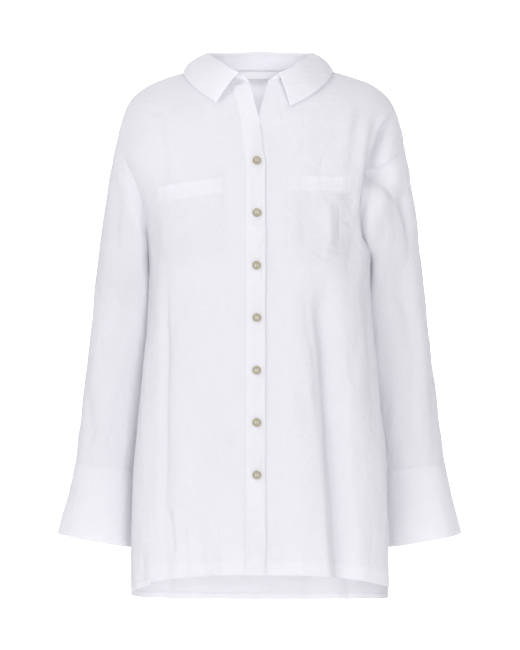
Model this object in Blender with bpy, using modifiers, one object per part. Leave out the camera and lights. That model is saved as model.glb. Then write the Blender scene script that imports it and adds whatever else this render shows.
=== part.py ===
"""Linen shirt: oversize cut, drop shoulders, deep flared cuffs, two patch pockets and a stepped hem.

Sizes are in millimetres, and become metres where a mesh is made. X runs to the wearer's left, Y to
the back and Z up. The origin lies between the shoulders, level with the sides of the neck.
"""

import math
from collections import namedtuple
from functools import cache

import bpy
import bmesh
import numpy as np
from mathutils import Vector

MM = 0.001

# Cloth and the gaps between its pieces
CLOTH = 1.4
COLLAR_CLOTH = 1.8
TRIM_CLOTH = 1.2
SEAM = 0.3
LAY = 0.6

# The body is a tube of rings from below the hem to the neckline. Each ring has a height at the side,
# at the front and at the back, and a squareness: 2 is an ellipse, and more is nearer to a box.
Ring = namedtuple("Ring", "half_width side_y side_z front_y front_z back_y back_z square")
TORSO = [
    Ring(192, -14, -800, -112, -800, 104, -800, 2.4),
    Ring(192, -14, -720, -112, -720, 103, -720, 2.4),
    Ring(191, -14, -640, -112, -640, 102, -640, 2.4),
    Ring(187, -14, -560, -112, -560, 101, -560, 2.4),
    Ring(179, -14, -480, -111, -480, 100, -480, 2.4),
    Ring(171, -12, -400, -111, -400, 99, -400, 2.4),
    Ring(166, -9, -325, -112, -325, 98, -325, 2.4),
    Ring(166, -3, -265, -113, -268, 98, -265, 2.4),
    Ring(178, 2, -212, -112, -228, 100, -222, 2.4),
    Ring(198, 5, -158, -109, -193, 100, -183, 2.3),
    Ring(214, 6, -106, -105, -160, 97, -146, 2.3),
    Ring(207, 6, -66, -100, -128, 92, -110, 2.3),
    Ring(193, 5, -34, -94, -98, 86, -77, 2.3),
    Ring(170, 5, -13, -88, -71, 79, -47, 2.2),
    Ring(140, 4, 0, -82, -47, 72, -22, 2.1),
    Ring(108, 3, 9, -76, -28, 66, 0, 2.0),
    Ring(78, 2, 16, -70, -12, 60, 17, 2.0),
]
NECK = len(TORSO) - 1
ARMPIT = 7.0
SHOULDER_TIP = 10.2

# The armhole bows to the front and to the back of the side line, in degrees round the body
ARMHOLE_FRONT = {-1: 27.0, 1: 37.0}
ARMHOLE_BACK = 30.0
ARMHOLE_RAISE = 0.3

# The side seam runs forward on its way down, to this angle from the front centre at the hem
SEAM_AT_HEM = {-1: 52.0, 1: 84.0}
SEAM_LOW = -720.0

# Hems: height at the centre, and how far each rises or falls towards the side
FRONT_HEM = -736.0
FRONT_HEM_DROP = 26.0
BACK_HEM = -793.0
BACK_HEM_RISE = 15.0

# Edges of the fronts at the centre: where the lapping edge and the edge under it lie at each height
Edge = namedtuple("Edge", "height over under")
EDGES = [
    Edge(-800, 6.6, -17.0),
    Edge(-131, 6.6, -17.0),
    Edge(-116, 3.0, -14.0),
    Edge(-67, -2.5, -2.5),
    Edge(-12, -16.7, 12.0),
]
OVER_LIFT = 0.6
UNDER_LIFT = -1.8
# The lift is full this far from the centre and gone at three times that, and it fades out upward
LAP_REACH = 17.0
LAP_TOP = -55.0
LAP_FADE = 30.0

# Soft folds of the body, from a top point to a low point, as (x, z) on the front or the back. The
# line bows sideways in the middle. A negative depth is a trough.
Fold = namedtuple("Fold", "face top_x top_z low_x low_z bow depth spread")
FOLDS = [
    Fold("front", 68, -285, 114, -860, 5, -11.0, 19),
    Fold("front", 36, -330, 66, -860, 4, 3.0, 20),
    Fold("front", 122, -330, 156, -860, 3, 4.0, 18),
    Fold("front", -133, -300, -137, -860, -3, -3.5, 11),
    Fold("front", -70, -520, -84, -860, 5, -5.5, 15),
    Fold("front", -48, -600, -52, -860, 0, 3.0, 14),
    Fold("front", -154, -40, -138, -165, 2, -3.0, 10),
    Fold("front", 158, -36, 134, -152, -3, -4.0, 12),
    Fold("front", 178, -50, 160, -262, -5, -7.0, 10),
    Fold("back", -66, -110, -98, -860, 6, -8.0, 17),
    Fold("back", 58, -140, 86, -860, 5, -9.0, 18),
    Fold("back", -6, -90, 6, -860, 8, 5.0, 22),
    Fold("back", 126, -300, 142, -860, -4, -5.5, 13),
    Fold("back", -128, -260, -146, -860, 4, -5.0, 13),
]
# A fold of the body eases in and out over this share of its length, and fades towards the sides
FOLD_EASE = 0.16
FOLD_FADE = 0.35

# The sleeve is a tube of rings from the armhole to the cuff: its outer and inner lines as (x, z),
# the middle of its depth, half its depth, and its squareness
Sleeve = namedtuple("Sleeve", "outer_x outer_z inner_x inner_z middle_y half_depth square")
SLEEVE = [
    Sleeve(214, -100, 166, -266, 6, 54, 2.2),
    Sleeve(223, -140, 178, -271, 12, 60, 2.2),
    Sleeve(231, -185, 182, -289, 23, 62, 2.2),
    Sleeve(238, -235, 176, -322, 37, 62, 2.2),
    Sleeve(246, -290, 169, -358, 49, 60, 2.2),
    Sleeve(253, -350, 166, -403, 57, 58, 2.2),
    Sleeve(261, -420, 169, -454, 61, 56, 2.2),
    Sleeve(270, -496, 178, -516, 62, 56, 2.2),
    Sleeve(280, -578, 188, -590, 62, 57, 2.2),
]
CUFF = [
    Sleeve(280, -578, 188, -590, 62, 57, 2.2),
    Sleeve(291, -630, 190, -648, 62, 61, 2.2),
    Sleeve(306, -686, 192, -707, 62, 66, 2.2),
]
SLEEVE_SETS_IN = 3.0

# Folds of a sleeve: degrees round from the outer line over the front, at the top and the low end,
# and the rows of the sleeve between which the fold lies
SleeveFold = namedtuple("SleeveFold", "side top_around low_around top low depth spread")
SLEEVE_FOLDS = [
    SleeveFold(1, 38, 62, 0.4, 3.6, -5.0, 11),
    SleeveFold(1, 85, 60, 2.6, 7.0, -4.0, 12),
    SleeveFold(1, 215, 250, 1.0, 6.5, -5.0, 13),
    SleeveFold(1, 20, 48, 5.0, 8.0, -3.5, 10),
    SleeveFold(-1, 48, 66, 0.6, 3.2, -3.5, 12),
    SleeveFold(-1, 96, 58, 3.2, 7.2, -4.0, 12),
    SleeveFold(-1, 225, 255, 1.2, 6.0, -5.0, 13),
    SleeveFold(-1, 28, 70, 6.2, 8.0, -3.5, 10),
]

# The collar by its turn from the front centre, in degrees: how high the stand rises, how far its
# top leans out, and how far its end sweeps to the side
Stand = namedtuple("Stand", "turn rise lean sweep")
STAND = [
    Stand(0, 9, 4, 10),
    Stand(40, 12, 1, 2),
    Stand(90, 15, -3, 0),
    Stand(180, 22, -5, 0),
]
# The roll of the collar over the stand, as steps up and out from the stand's top
Roll = namedtuple("Roll", "up out")
ROLL = [Roll(0.3, 0.0), Roll(4.0, 0.8), Roll(6.0, 3.8), Roll(4.2, 7.4)]
FALL_STEPS = (0.2, 0.45, 0.72, 1.0)
FALL_BULGE = 3.0
COLLAR_TIP = {-1: (-64.0, -46.0), 1: (44.0, -52.0)}
COLLAR_AT_SHOULDER = {-1: 14.9, 1: 15.15}
COLLAR_AT_BACK = 14.75
COLLAR_CLEAR = 4.5
COLLAR_FRONT_EASE = 0.8

# Placket, pockets, label and buttons
PLACKET_WIDTH = 26.0
PLACKET_TOP = -18.0
Pocket = namedtuple("Pocket", "name inner_x outer_x inner_top outer_top bottom gape")
POCKETS = [
    Pocket("pocket_right", -54.0, -150.0, -155.0, -168.0, -275.0, 2.6),
    Pocket("pocket_left", 41.0, 136.0, -152.0, -154.0, -274.0, 1.6),
]
POCKET_FOLD_CLOTH = 2.0
POCKET_LAY = 1.0
# How far up a pocket its rows lie. Its folded top begins between the two that are close together.
POCKET_ROWS = (0, 0.14, 0.28, 0.42, 0.56, 0.7, 0.8, 0.81, 0.9, 1)
POCKET_FOLD_AT = 0.805
POCKET_COLUMNS = 7
LABEL_LEFT, LABEL_RIGHT = -29.0, 31.0
LABEL_LOW, LABEL_TOP = 4.0, 14.6
LABEL_CLOTH = 1.0
LABEL_LAY = 1.1
BUTTON_X = -4.7
BUTTON_HEIGHTS = [-131.0 - 76.4 * step for step in range(7)]
# Half of a button's section, from the middle of its face out and down to the middle of its back
BUTTON_PROFILE = [(0.0, 1.5), (3.9, 1.6), (4.8, 2.3), (5.7, 2.3), (6.2, 1.5), (6.0, 0.3), (5.2, 0.0), (0.0, 0.0)]
BUTTON_STEPS = 18

# Rows and columns of the cloth grids
LOW_ROWS = 12
ARM_ROWS = 14
FRONT_EDGE_ROWS = 8
FRONT_COLUMNS = 14
NECK_COLUMNS = 10
SLEEVE_ROWS = 13
CUFF_ROWS = 3
STAND_ROWS = 2
PLACKET_ROWS = 24
PLACKET_COLUMNS = 2
LABEL_ROWS = 2
LABEL_COLUMNS = 5
COLLAR_ROWS = 8
NECK_ROWS = ARM_ROWS - FRONT_EDGE_ROWS
# How late on its way up a grid takes on the spacing of its top edge
TOP_PULL = 5

LINEN_COLOUR = (0.87, 0.87, 0.88, 1.0)
LABEL_COLOUR = (0.80, 0.80, 0.82, 1.0)
BUTTON_COLOUR = (0.50, 0.43, 0.27, 1.0)

# One point of a cloth grid: where it is, which way is out, and how thick the cloth is there
Knot = namedtuple("Knot", "point out thick")


def row_at(table, place):
    """The row of a table at a fractional place, on a smooth curve through its rows."""
    place = min(max(place, 0.0), len(table) - 1.0)
    first = min(int(place), len(table) - 2)
    t = place - first
    last = min(first + 2, len(table) - 1)
    row = []
    for before, start, end, after in zip(table[max(first - 1, 0)], table[first], table[first + 1], table[last]):
        bend = 2 * before - 5 * start + 4 * end - after
        twist = 3 * (start - end) + after - before
        row.append(start + 0.5 * t * (end - before + t * (bend + t * twist)))
    return row


def smooth(value):
    """0 below 0, 1 above 1, and an even rise between."""
    value = min(max(value, 0.0), 1.0)
    return value * value * (3 - 2 * value)


def reach_of(angle, square):
    """How far a superellipse of half sizes 1 reaches in a direction."""
    return (abs(math.sin(angle)) ** square + abs(math.cos(angle)) ** square) ** (-1 / square)


def plain_torso(angle, place):
    """The body's form without folds. The angle runs from the front centre to the wearer's left."""
    ring = Ring(*row_at(TORSO, place))
    reach = reach_of(angle, ring.square)
    along = math.cos(angle)
    end_y = ring.front_y if along > 0 else ring.back_y
    end_z = ring.front_z if along > 0 else ring.back_z
    x = ring.half_width * reach * math.sin(angle)
    y = ring.side_y + (end_y - ring.side_y) * reach * abs(along)
    z = ring.side_z + (end_z - ring.side_z) * along * along
    return Vector((x, y, z))


def fold_depth(face, x, z):
    """How far the folds move the body's cloth out at a point of the front or the back."""
    total = 0.0
    for fold in FOLDS:
        t = (fold.top_z - z) / (fold.top_z - fold.low_z)
        if fold.face != face or not 0 < t < 1:
            continue
        line = fold.top_x + (fold.low_x - fold.top_x) * t + 4 * fold.bow * t * (1 - t)
        ends = smooth(t / FOLD_EASE) * smooth((1 - t) / FOLD_EASE)
        total += fold.depth * ends * math.exp(-(((x - line) / fold.spread) ** 2))
    return total


def torso(angle, place):
    """The body's form with its folds."""
    point = plain_torso(angle, place)
    along = math.cos(angle)
    face = "front" if along > 0 else "back"
    depth = fold_depth(face, point.x, point.z) * smooth(abs(along) / FOLD_FADE)
    return point + Vector((math.sin(angle), -along, 0)) * depth


def torso_out(angle, place):
    """The direction out of the body at a point of its form."""
    across = torso(angle + 0.01, place) - torso(angle - 0.01, place)
    up = torso(angle, place + 0.05) - torso(angle, place - 0.05)
    return across.cross(up).normalized()


def place_at(angle, height):
    """The place up the body where its form passes a height."""
    low, high = 0.0, float(NECK)
    for _ in range(18):
        middle = (low + high) / 2
        if plain_torso(angle, middle).z < height:
            low = middle
        else:
            high = middle
    return (low + high) / 2


def angle_at(x, place):
    """The angle on the front where a ring of the body passes x."""
    ring = Ring(*row_at(TORSO, place))
    share = min(abs(x) / ring.half_width, 0.995) ** ring.square
    tangent = (share / (1 - share)) ** (1 / ring.square)
    return math.copysign(math.atan(tangent), x)


def spot(x, height, back=False):
    """The angle and the place of a point of the body given by its x and its height."""
    angle = 0.0
    for _ in range(12):
        place = place_at(math.pi - angle if back else angle, height)
        angle = 0.5 * (angle + angle_at(x, place))
    return (math.pi - angle if back else angle, place)


def edge_x(side, height):
    """Where a front's centre edge lies at a height."""
    heights = [edge.height for edge in EDGES]
    places = [edge.over if side < 0 else edge.under for edge in EDGES]
    return float(np.interp(height, heights, places))


def seam_angle(side, height):
    """The angle of the side seam from the front centre at a height."""
    armpit = plain_torso(math.pi / 2, ARMPIT).z
    share = smooth((armpit - height) / (armpit - FRONT_HEM))
    return math.radians(90 + (SEAM_AT_HEM[side] - 90) * share)


def front_hem(angle):
    return FRONT_HEM - FRONT_HEM_DROP * abs(math.sin(angle)) ** 3


def back_hem(angle):
    return BACK_HEM + BACK_HEM_RISE * ((angle - math.pi) / (math.pi / 2)) ** 2


def armhole(side, around):
    """The armhole's angle and place. It runs round from the shoulder over the front."""
    reach = ARMHOLE_FRONT[side] if math.sin(around) > 0 else ARMHOLE_BACK
    bow = reach * math.sin(around) * (1 + ARMHOLE_RAISE * math.cos(around))
    middle = (SHOULDER_TIP + ARMPIT) / 2
    half = (SHOULDER_TIP - ARMPIT) / 2
    return (side * math.radians(90 - bow), middle + half * math.cos(around))


def tube_point(table, side, around, place):
    """A point of a tube of sleeve rings."""
    ring = Sleeve(*row_at(table, place))
    reach = reach_of(around, ring.square)
    outer = Vector((ring.outer_x, ring.middle_y, ring.outer_z))
    inner = Vector((ring.inner_x, ring.middle_y, ring.inner_z))
    forward = Vector((0, -ring.half_depth, 0))
    point = (outer + inner) / 2 + (outer - inner) / 2 * reach * math.cos(around)
    point += forward * reach * math.sin(around)
    return Vector((side * point.x, point.y, point.z))


def sleeve_fold_depth(side, around, place):
    """How far the folds move a sleeve's cloth out."""
    total = 0.0
    degrees = math.degrees(around) % 360
    for fold in SLEEVE_FOLDS:
        t = (place - fold.top) / (fold.low - fold.top)
        if fold.side != side or not 0 < t < 1:
            continue
        line = fold.top_around + (fold.low_around - fold.top_around) * t
        away = (degrees - line + 180) % 360 - 180
        total += fold.depth * math.sin(math.pi * t) * math.exp(-((away / fold.spread) ** 2))
    return total


def sleeve(side, around, place):
    """The sleeve's form. Its first ring is the armhole, and it eases into the tube's own rings."""
    point = tube_point(SLEEVE, side, around, place)
    share = max(1 - place / SLEEVE_SETS_IN, 0.0) ** 2
    if share:
        start = torso(*armhole(side, around))
        point += (start - tube_point(SLEEVE, side, around, 0)) * share
    depth = sleeve_fold_depth(side, around, place)
    return point + Vector((side * math.cos(around), -math.sin(around), 0)) * depth


def cuff(side, around, place):
    """The cuff's form, which goes on from the sleeve's last ring."""
    return tube_point(CUFF, side, around, place)


def tube_out(form, side, around, place):
    """The direction out of a sleeve or a cuff at a point of its form."""
    across = form(side, around + 0.01, place) - form(side, around - 0.01, place)
    down = form(side, around, place + 0.05) - form(side, around, max(place - 0.05, 0.0))
    return across.cross(down).normalized() * side


def armhole_out(side, around):
    """The direction halfway between body and sleeve, which both pieces end along."""
    body = torso_out(*armhole(side, around))
    return (body + tube_out(sleeve, side, around, 0.0)).normalized()


def turn_of(angle):
    """Degrees from the front centre, whichever way round."""
    degrees = abs(math.degrees(angle)) % 360
    return min(degrees, 360 - degrees)


def stand_sizes(angle):
    """The collar stand's rise, lean and sweep at an angle round the neck."""
    turns = [row.turn for row in STAND]
    turn = turn_of(angle)
    return [float(np.interp(turn, turns, [row[column] for row in STAND])) for column in (1, 2, 3)]


def neck_side(angle):
    """The horizontal direction out of the neckline."""
    ring = TORSO[NECK]
    depth = (ring.back_y - ring.front_y) / 2
    return Vector((math.sin(angle) / ring.half_width, -math.cos(angle) / depth, 0)).normalized()


def stand(angle, share):
    """The collar stand's form, from the neckline up to its top edge."""
    rise, lean, sweep = stand_sizes(angle)
    aside = math.copysign(sweep, math.sin(angle))
    step = Vector((aside, 0, rise)) + neck_side(angle) * lean
    return plain_torso(angle, NECK) + step * share


def stand_out(angle, share):
    """The direction out of the collar stand."""
    across = stand(angle + 0.01, share) - stand(angle - 0.01, share)
    up = stand(angle, 1) - stand(angle, 0)
    return across.cross(up).normalized()


def neck_out(angle):
    """The direction halfway between body and stand, which both pieces end along."""
    return (torso_out(angle, NECK) + stand_out(angle, 0)).normalized()


@cache
def collar_tip(side):
    """The angle and the place of a collar tip."""
    return spot(*COLLAR_TIP[side])


@cache
def neck_end(side):
    """The angle where a front's neckline ends at its centre edge."""
    height = plain_torso(0, NECK).z
    return angle_at(edge_x(side, height), NECK)


@cache
def collar_edge(angle):
    """The lower edge of the folded collar, just clear of the body."""
    side = 1 if math.sin(angle) > 0 else -1
    turn = turn_of(angle)
    tip_angle, tip_place = collar_tip(side)
    if turn < 90:
        end = abs(math.degrees(neck_end(side)))
        share = max((turn - end) / (90 - end), 0.0)
        turn = math.degrees(abs(tip_angle)) * (1 - share) + 90 * share
        place = tip_place + (COLLAR_AT_SHOULDER[side] - tip_place) * share ** COLLAR_FRONT_EASE
    else:
        share = smooth((turn - 90) / 90)
        place = COLLAR_AT_SHOULDER[side] + (COLLAR_AT_BACK - COLLAR_AT_SHOULDER[side]) * share
    edge_angle = side * math.radians(turn)
    return torso(edge_angle, place) + torso_out(edge_angle, place) * COLLAR_CLEAR


def collar(angle, place):
    """The folded collar's form: up from the stand, over the roll and down to the lower edge."""
    top = stand(angle, 1)
    up = (top - stand(angle, 0)).normalized()
    out = neck_side(angle)
    points = [top + up * roll.up + out * roll.out for roll in ROLL]
    start = points[-1]
    edge = collar_edge(angle)
    for share in FALL_STEPS:
        bulge = 4 * FALL_BULGE * share * (1 - share)
        points.append(start.lerp(edge, share) + (out + Vector((0, 0, 1))).normalized() * bulge)
    last = len(points) - 1
    return Vector(row_at([tuple(point) for point in points], place * last))


def collar_out(angle, place):
    """The direction out of the folded collar."""
    across = collar(angle + 0.01, place) - collar(angle - 0.01, place)
    along = collar(angle, min(place + 0.02, 1)) - collar(angle, max(place - 0.02, 0))
    return across.cross(along).normalized()


def fill(left, right, bottom, top):
    """A grid of (angle, place) pairs inside four edges, with rows from the bottom to the top."""
    left, right, bottom, top = (np.array(edge) for edge in (left, right, bottom, top))
    grid = []
    for i, (start, end) in enumerate(zip(left, right)):
        t = i / (len(left) - 1)
        row = []
        for j, (low, high) in enumerate(zip(bottom, top)):
            s = j / (len(bottom) - 1)
            sides = (1 - s) * start + s * end
            below = low - (1 - s) * bottom[0] - s * bottom[-1]
            above = high - (1 - s) * top[0] - s * top[-1]
            row.append(tuple(sides + (1 - t) * below + t ** TOP_PULL * above))
        grid.append(row)
    return grid


def side_edge(side, hem, back):
    """The pairs up the side seam and the armhole, the same for both panels above the hem."""
    pairs = []
    heights = np.linspace(SEAM_LOW, plain_torso(math.pi / 2, ARMPIT).z, LOW_ROWS)
    low_angle = seam_angle(side, FRONT_HEM)
    turned = 2 * math.pi if back and side < 0 else 0.0
    hem_angle = side * low_angle + turned
    pairs.append((hem_angle, place_at(low_angle, hem(hem_angle))))
    for height in heights:
        angle = seam_angle(side, height)
        pairs.append((side * angle + turned, place_at(angle, height)))
    for step in range(1, ARM_ROWS + 1):
        around = math.pi * (1 + step / ARM_ROWS if back else 1 - step / ARM_ROWS)
        angle, place = armhole(side, around)
        pairs.append((angle + turned, place))
    return pairs


def shoulder_edge(side):
    """The pairs along the shoulder seam from the neck out."""
    places = np.linspace(NECK, SHOULDER_TIP, FRONT_COLUMNS + 1)
    return [(side * math.pi / 2, place) for place in places]


def front_centre_edge(side):
    """The pairs up a front's centre edge and round its neckline."""
    pairs = []
    armpit = plain_torso(0, ARMPIT).z
    neck = plain_torso(0, NECK).z
    heights = list(np.linspace(FRONT_HEM, armpit, LOW_ROWS + 1))
    heights += list(np.linspace(armpit, neck, FRONT_EDGE_ROWS + 1)[1:-1])
    for height in heights:
        pairs.append(spot(edge_x(side, height), height))
    for angle in np.linspace(neck_end(side), side * math.pi / 2, NECK_ROWS + 1):
        pairs.append((angle, NECK))
    return pairs


def knots_on_torso(pairs, thick=CLOTH):
    """The body's points and directions for a grid of pairs."""
    return [[Knot(torso(*pair), torso_out(*pair), thick) for pair in row] for row in pairs]


def lap(knots, side):
    """The centre of a front, moved out on the lapping side and in on the other."""
    lift = OVER_LIFT if side < 0 else UNDER_LIFT
    moved = []
    for row in knots:
        new_row = []
        for knot in row:
            near = 1 - smooth((abs(knot.point.x) / LAP_REACH - 1) / 2)
            share = near * smooth((LAP_TOP - knot.point.z) / LAP_FADE)
            point = knot.point + knot.out * lift * share * (knot.point.y < 0)
            new_row.append(knot._replace(point=point))
        moved.append(new_row)
    return moved


def edge_steps(loop):
    """At each knot of an edge loop, the step across the edge that moves both its sides by one unit."""
    steps = []
    for number, knot in enumerate(loop):
        before = knot.out.cross(knot.point - loop[number - 1].point).normalized()
        after = knot.out.cross(loop[(number + 1) % len(loop)].point - knot.point).normalized()
        steps.append((before + after) / max(1 + before.dot(after), 0.4))
    return steps


def trim(knots, closed=False):
    """The grid with its open edges drawn in, which leaves the seam's gap to the next piece."""
    rows, columns = len(knots), len(knots[0])
    trimmed = [list(row) for row in knots]
    for loop in rim_loops(rows, columns, closed):
        steps = edge_steps([knots[i][j] for i, j in loop])
        inward = 0.0
        for (i, j), step in zip(loop, steps):
            inner = knots[min(max(i, 1), rows - 2)][j if closed else min(max(j, 1), columns - 2)]
            inward += step.dot(inner.point - knots[i][j].point)
        gap = math.copysign(SEAM / 2, inward)
        for (i, j), step in zip(loop, steps):
            trimmed[i][j] = knots[i][j]._replace(point=knots[i][j].point + step * gap)
    return trimmed


def rim_loops(rows, columns, closed):
    """The open edges of a grid, each as a loop of (row, column) pairs."""
    if closed:
        return [[(0, j) for j in range(columns)], [(rows - 1, j) for j in reversed(range(columns))]]
    loop = [(0, j) for j in range(columns - 1)]
    loop += [(i, columns - 1) for i in range(rows - 1)]
    loop += [(rows - 1, j) for j in range(columns - 1, 0, -1)]
    loop += [(i, 0) for i in range(rows - 1, 0, -1)]
    return [loop]


def split(corners, flat):
    """Two triangles on the shorter diagonal, so that both skins of the cloth bend alike."""
    a, b, c, d = corners
    first = (flat[a].point - flat[c].point).length
    second = (flat[b].point - flat[d].point).length
    return ([a, b, c], [a, c, d]) if first < second else ([a, b, d], [b, c, d])


def cloth(name, material, knots, closed=False):
    """A wall of cloth: an outer and an inner skin over a grid of knots, joined round the open edges."""
    knots = trim(knots, closed)
    rows, columns = len(knots), len(knots[0])
    flat = [knot for row in knots for knot in row]
    points = [(knot.point + knot.out * knot.thick / 2) * MM for knot in flat]
    points += [(knot.point - knot.out * knot.thick / 2) * MM for knot in flat]
    inside = len(flat)
    faces = []
    for i in range(rows - 1):
        for j in range(columns if closed else columns - 1):
            k = (j + 1) % columns
            corners = [i * columns + j, i * columns + k, (i + 1) * columns + k, (i + 1) * columns + j]
            for face in split(corners, flat):
                faces.append(face)
                faces.append([corner + inside for corner in reversed(face)])
    for loop in rim_loops(rows, columns, closed):
        numbers = [i * columns + j for i, j in loop]
        for a, b in zip(numbers, numbers[1:] + numbers[:1]):
            faces.append([b, a, a + inside, b + inside])
    mesh = bpy.data.meshes.new(name)
    mesh.from_pydata([tuple(point) for point in points], [], faces)
    face_out(mesh)
    return add_object(name, mesh, material)


def face_out(mesh):
    """Turns a closed mesh so that its faces point out."""
    work = bmesh.new()
    work.from_mesh(mesh)
    if work.calc_volume(signed=True) < 0:
        bmesh.ops.reverse_faces(work, faces=work.faces)
    work.to_mesh(mesh)
    work.free()


def add_object(name, mesh, material):
    """An object of the shirt, smooth but for its sharp edges."""
    mesh.materials.append(material)
    mesh.shade_smooth()
    mesh.set_sharp_from_angle(angle=math.radians(40))
    piece = bpy.data.objects.new(name, mesh)
    SHIRT.objects.link(piece)
    piece.parent = WEARER
    return piece


def colour_material(name, colour, roughness):
    material = bpy.data.materials.new(name)
    material.use_nodes = True
    shader = material.node_tree.nodes["Principled BSDF"]
    shader.inputs["Base Color"].default_value = colour
    shader.inputs["Roughness"].default_value = roughness
    shader.inputs["Metallic"].default_value = 0.0
    return material


def linen(name):
    return colour_material(f"linen_{name}", LINEN_COLOUR, 0.9)


def front_knots(side):
    """The knots of a front, with rows from the hem up and columns from the centre to the side."""
    left = front_centre_edge(side)
    right = side_edge(side, front_hem, back=False)
    bottom = []
    for angle in np.linspace(left[0][0], right[0][0], FRONT_COLUMNS + 1):
        bottom.append((angle, place_at(angle, front_hem(angle))))
    pairs = fill(left, right, bottom, shoulder_edge(side))
    knots = lap(knots_on_torso(pairs), side)
    for step in range(ARM_ROWS + 1):
        row = knots[LOW_ROWS + step]
        row[-1] = row[-1]._replace(out=armhole_out(side, math.pi * (1 - step / ARM_ROWS)))
    for i in range(LOW_ROWS + FRONT_EDGE_ROWS, len(knots)):
        knots[i][0] = knots[i][0]._replace(out=neck_out(pairs[i][0][0]))
    return knots


def make_fronts():
    for side, name in ((-1, "front_right"), (1, "front_left")):
        cloth(name, linen(name), front_knots(side))


def make_back():
    """The back in one piece, with columns from the wearer's left side to the right."""
    left = side_edge(1, back_hem, back=True)
    right = side_edge(-1, back_hem, back=True)
    columns = 2 * FRONT_COLUMNS + NECK_COLUMNS
    bottom = []
    for angle in np.linspace(left[0][0], right[0][0], columns + 1):
        bottom.append((angle, place_at(angle, back_hem(angle))))
    top = list(reversed(shoulder_edge(1)))
    neck = np.linspace(math.pi / 2, 3 * math.pi / 2, NECK_COLUMNS + 1)
    top += [(angle, NECK) for angle in neck[1:-1]]
    top += [(angle + 2 * math.pi, place) for angle, place in shoulder_edge(-1)]
    knots = knots_on_torso(fill(left, right, bottom, top))
    for step in range(ARM_ROWS + 1):
        row = knots[LOW_ROWS + step]
        around = math.pi * (1 + step / ARM_ROWS)
        row[0] = row[0]._replace(out=armhole_out(1, around))
        row[-1] = row[-1]._replace(out=armhole_out(-1, around))
    for j in range(FRONT_COLUMNS, FRONT_COLUMNS + NECK_COLUMNS + 1):
        knots[-1][j] = knots[-1][j]._replace(out=neck_out(top[j][0]))
    cloth("back", linen("back"), knots)


def tube_knots(form, side, last, rows):
    """The knots of a sleeve or a cuff, with the same steps round as the armhole's panels."""
    knots = []
    for place in np.linspace(0, last, rows + 1):
        row = []
        for step in range(2 * ARM_ROWS):
            around = math.pi * step / ARM_ROWS
            row.append(Knot(form(side, around, place), tube_out(form, side, around, place), CLOTH))
        knots.append(row)
    return knots


def make_sleeves():
    for side, name in ((-1, "right"), (1, "left")):
        knots = tube_knots(sleeve, side, len(SLEEVE) - 1, SLEEVE_ROWS)
        for step in range(2 * ARM_ROWS):
            around = math.pi * step / ARM_ROWS
            knots[0][step] = knots[0][step]._replace(out=armhole_out(side, around))
        lower = tube_knots(cuff, side, len(CUFF) - 1, CUFF_ROWS)
        for step, (above, below) in enumerate(zip(knots[-1], lower[0])):
            out = (above.out + below.out).normalized()
            knots[-1][step] = above._replace(out=out)
            lower[0][step] = below._replace(out=out)
        cloth(f"sleeve_{name}", linen(f"sleeve_{name}"), knots, closed=True)
        cloth(f"cuff_{name}", linen(f"cuff_{name}"), lower, closed=True)


def neck_angles():
    """Angles round the neck from the right front's end over the back to the left front's end."""
    right = list(np.linspace(neck_end(-1), -math.pi / 2, NECK_ROWS + 1))
    back = list(np.linspace(-math.pi / 2, -3 * math.pi / 2, NECK_COLUMNS + 1))
    left = list(np.linspace(-3 * math.pi / 2, neck_end(1) - 2 * math.pi, NECK_ROWS + 1))
    return right + back[1:] + left[1:]


def make_collar():
    """The stand on the neckline, and the collar folded down over it."""
    angles = neck_angles()
    rows = []
    for share in np.linspace(0, 1, STAND_ROWS + 1):
        row = []
        for angle in angles:
            out = stand_out(angle, share) if share else neck_out(angle)
            row.append(Knot(stand(angle, share), out, CLOTH))
        rows.append(row)
    cloth("collar_stand", linen("collar_stand"), rows)
    rows = []
    for place in np.linspace(0, 1, COLLAR_ROWS + 1):
        rows.append([Knot(collar(angle, place), collar_out(angle, place), COLLAR_CLOTH) for angle in angles])
    cloth("collar_leaf", linen("collar_leaf"), rows)


def laid_on(x, height, lift, thick, back=False):
    """A knot of a piece that lies on the body's cloth, moved out by a lift from its outer face."""
    pair = spot(x, height, back)
    out = torso_out(*pair)
    inward = -1 if back else 1
    away = inward * (CLOTH / 2 + lift + thick / 2)
    return Knot(torso(*pair) + out * away, out, thick)


def make_placket():
    """The button band on the lapping front, along its centre edge."""
    rows = []
    for height in np.linspace(FRONT_HEM, PLACKET_TOP, PLACKET_ROWS + 1):
        edge = edge_x(-1, height)
        row = []
        for x in np.linspace(edge, edge - PLACKET_WIDTH, PLACKET_COLUMNS + 1):
            row.append(laid_on(x, height, OVER_LIFT + LAY, TRIM_CLOTH))
        rows.append(row)
    cloth("placket", linen("placket"), rows)


def make_pockets():
    """Patch pockets, sewn round three sides and a little open at their folded top."""
    for pocket in POCKETS:
        rows = []
        for up in POCKET_ROWS:
            row = []
            for across in np.linspace(0, 1, POCKET_COLUMNS + 1):
                x = pocket.inner_x + (pocket.outer_x - pocket.inner_x) * across
                top = pocket.inner_top + (pocket.outer_top - pocket.inner_top) * across
                height = pocket.bottom + (top - pocket.bottom) * up
                thick = POCKET_FOLD_CLOTH if up > POCKET_FOLD_AT else TRIM_CLOTH
                gape = pocket.gape * math.sin(math.pi * across) * smooth(up)
                row.append(laid_on(x, height, POCKET_LAY + gape, thick))
            rows.append(row)
        cloth(pocket.name, linen(pocket.name), rows)


def make_label():
    """The bare label inside the back neck."""
    rows = []
    for height in np.linspace(LABEL_LOW, LABEL_TOP, LABEL_ROWS + 1):
        row = []
        for x in np.linspace(LABEL_LEFT, LABEL_RIGHT, LABEL_COLUMNS + 1):
            row.append(laid_on(x, height, LABEL_LAY, LABEL_CLOTH, back=True))
        rows.append(row)
    cloth("neck_label", colour_material("label_satin", LABEL_COLOUR, 0.5), rows)


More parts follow.
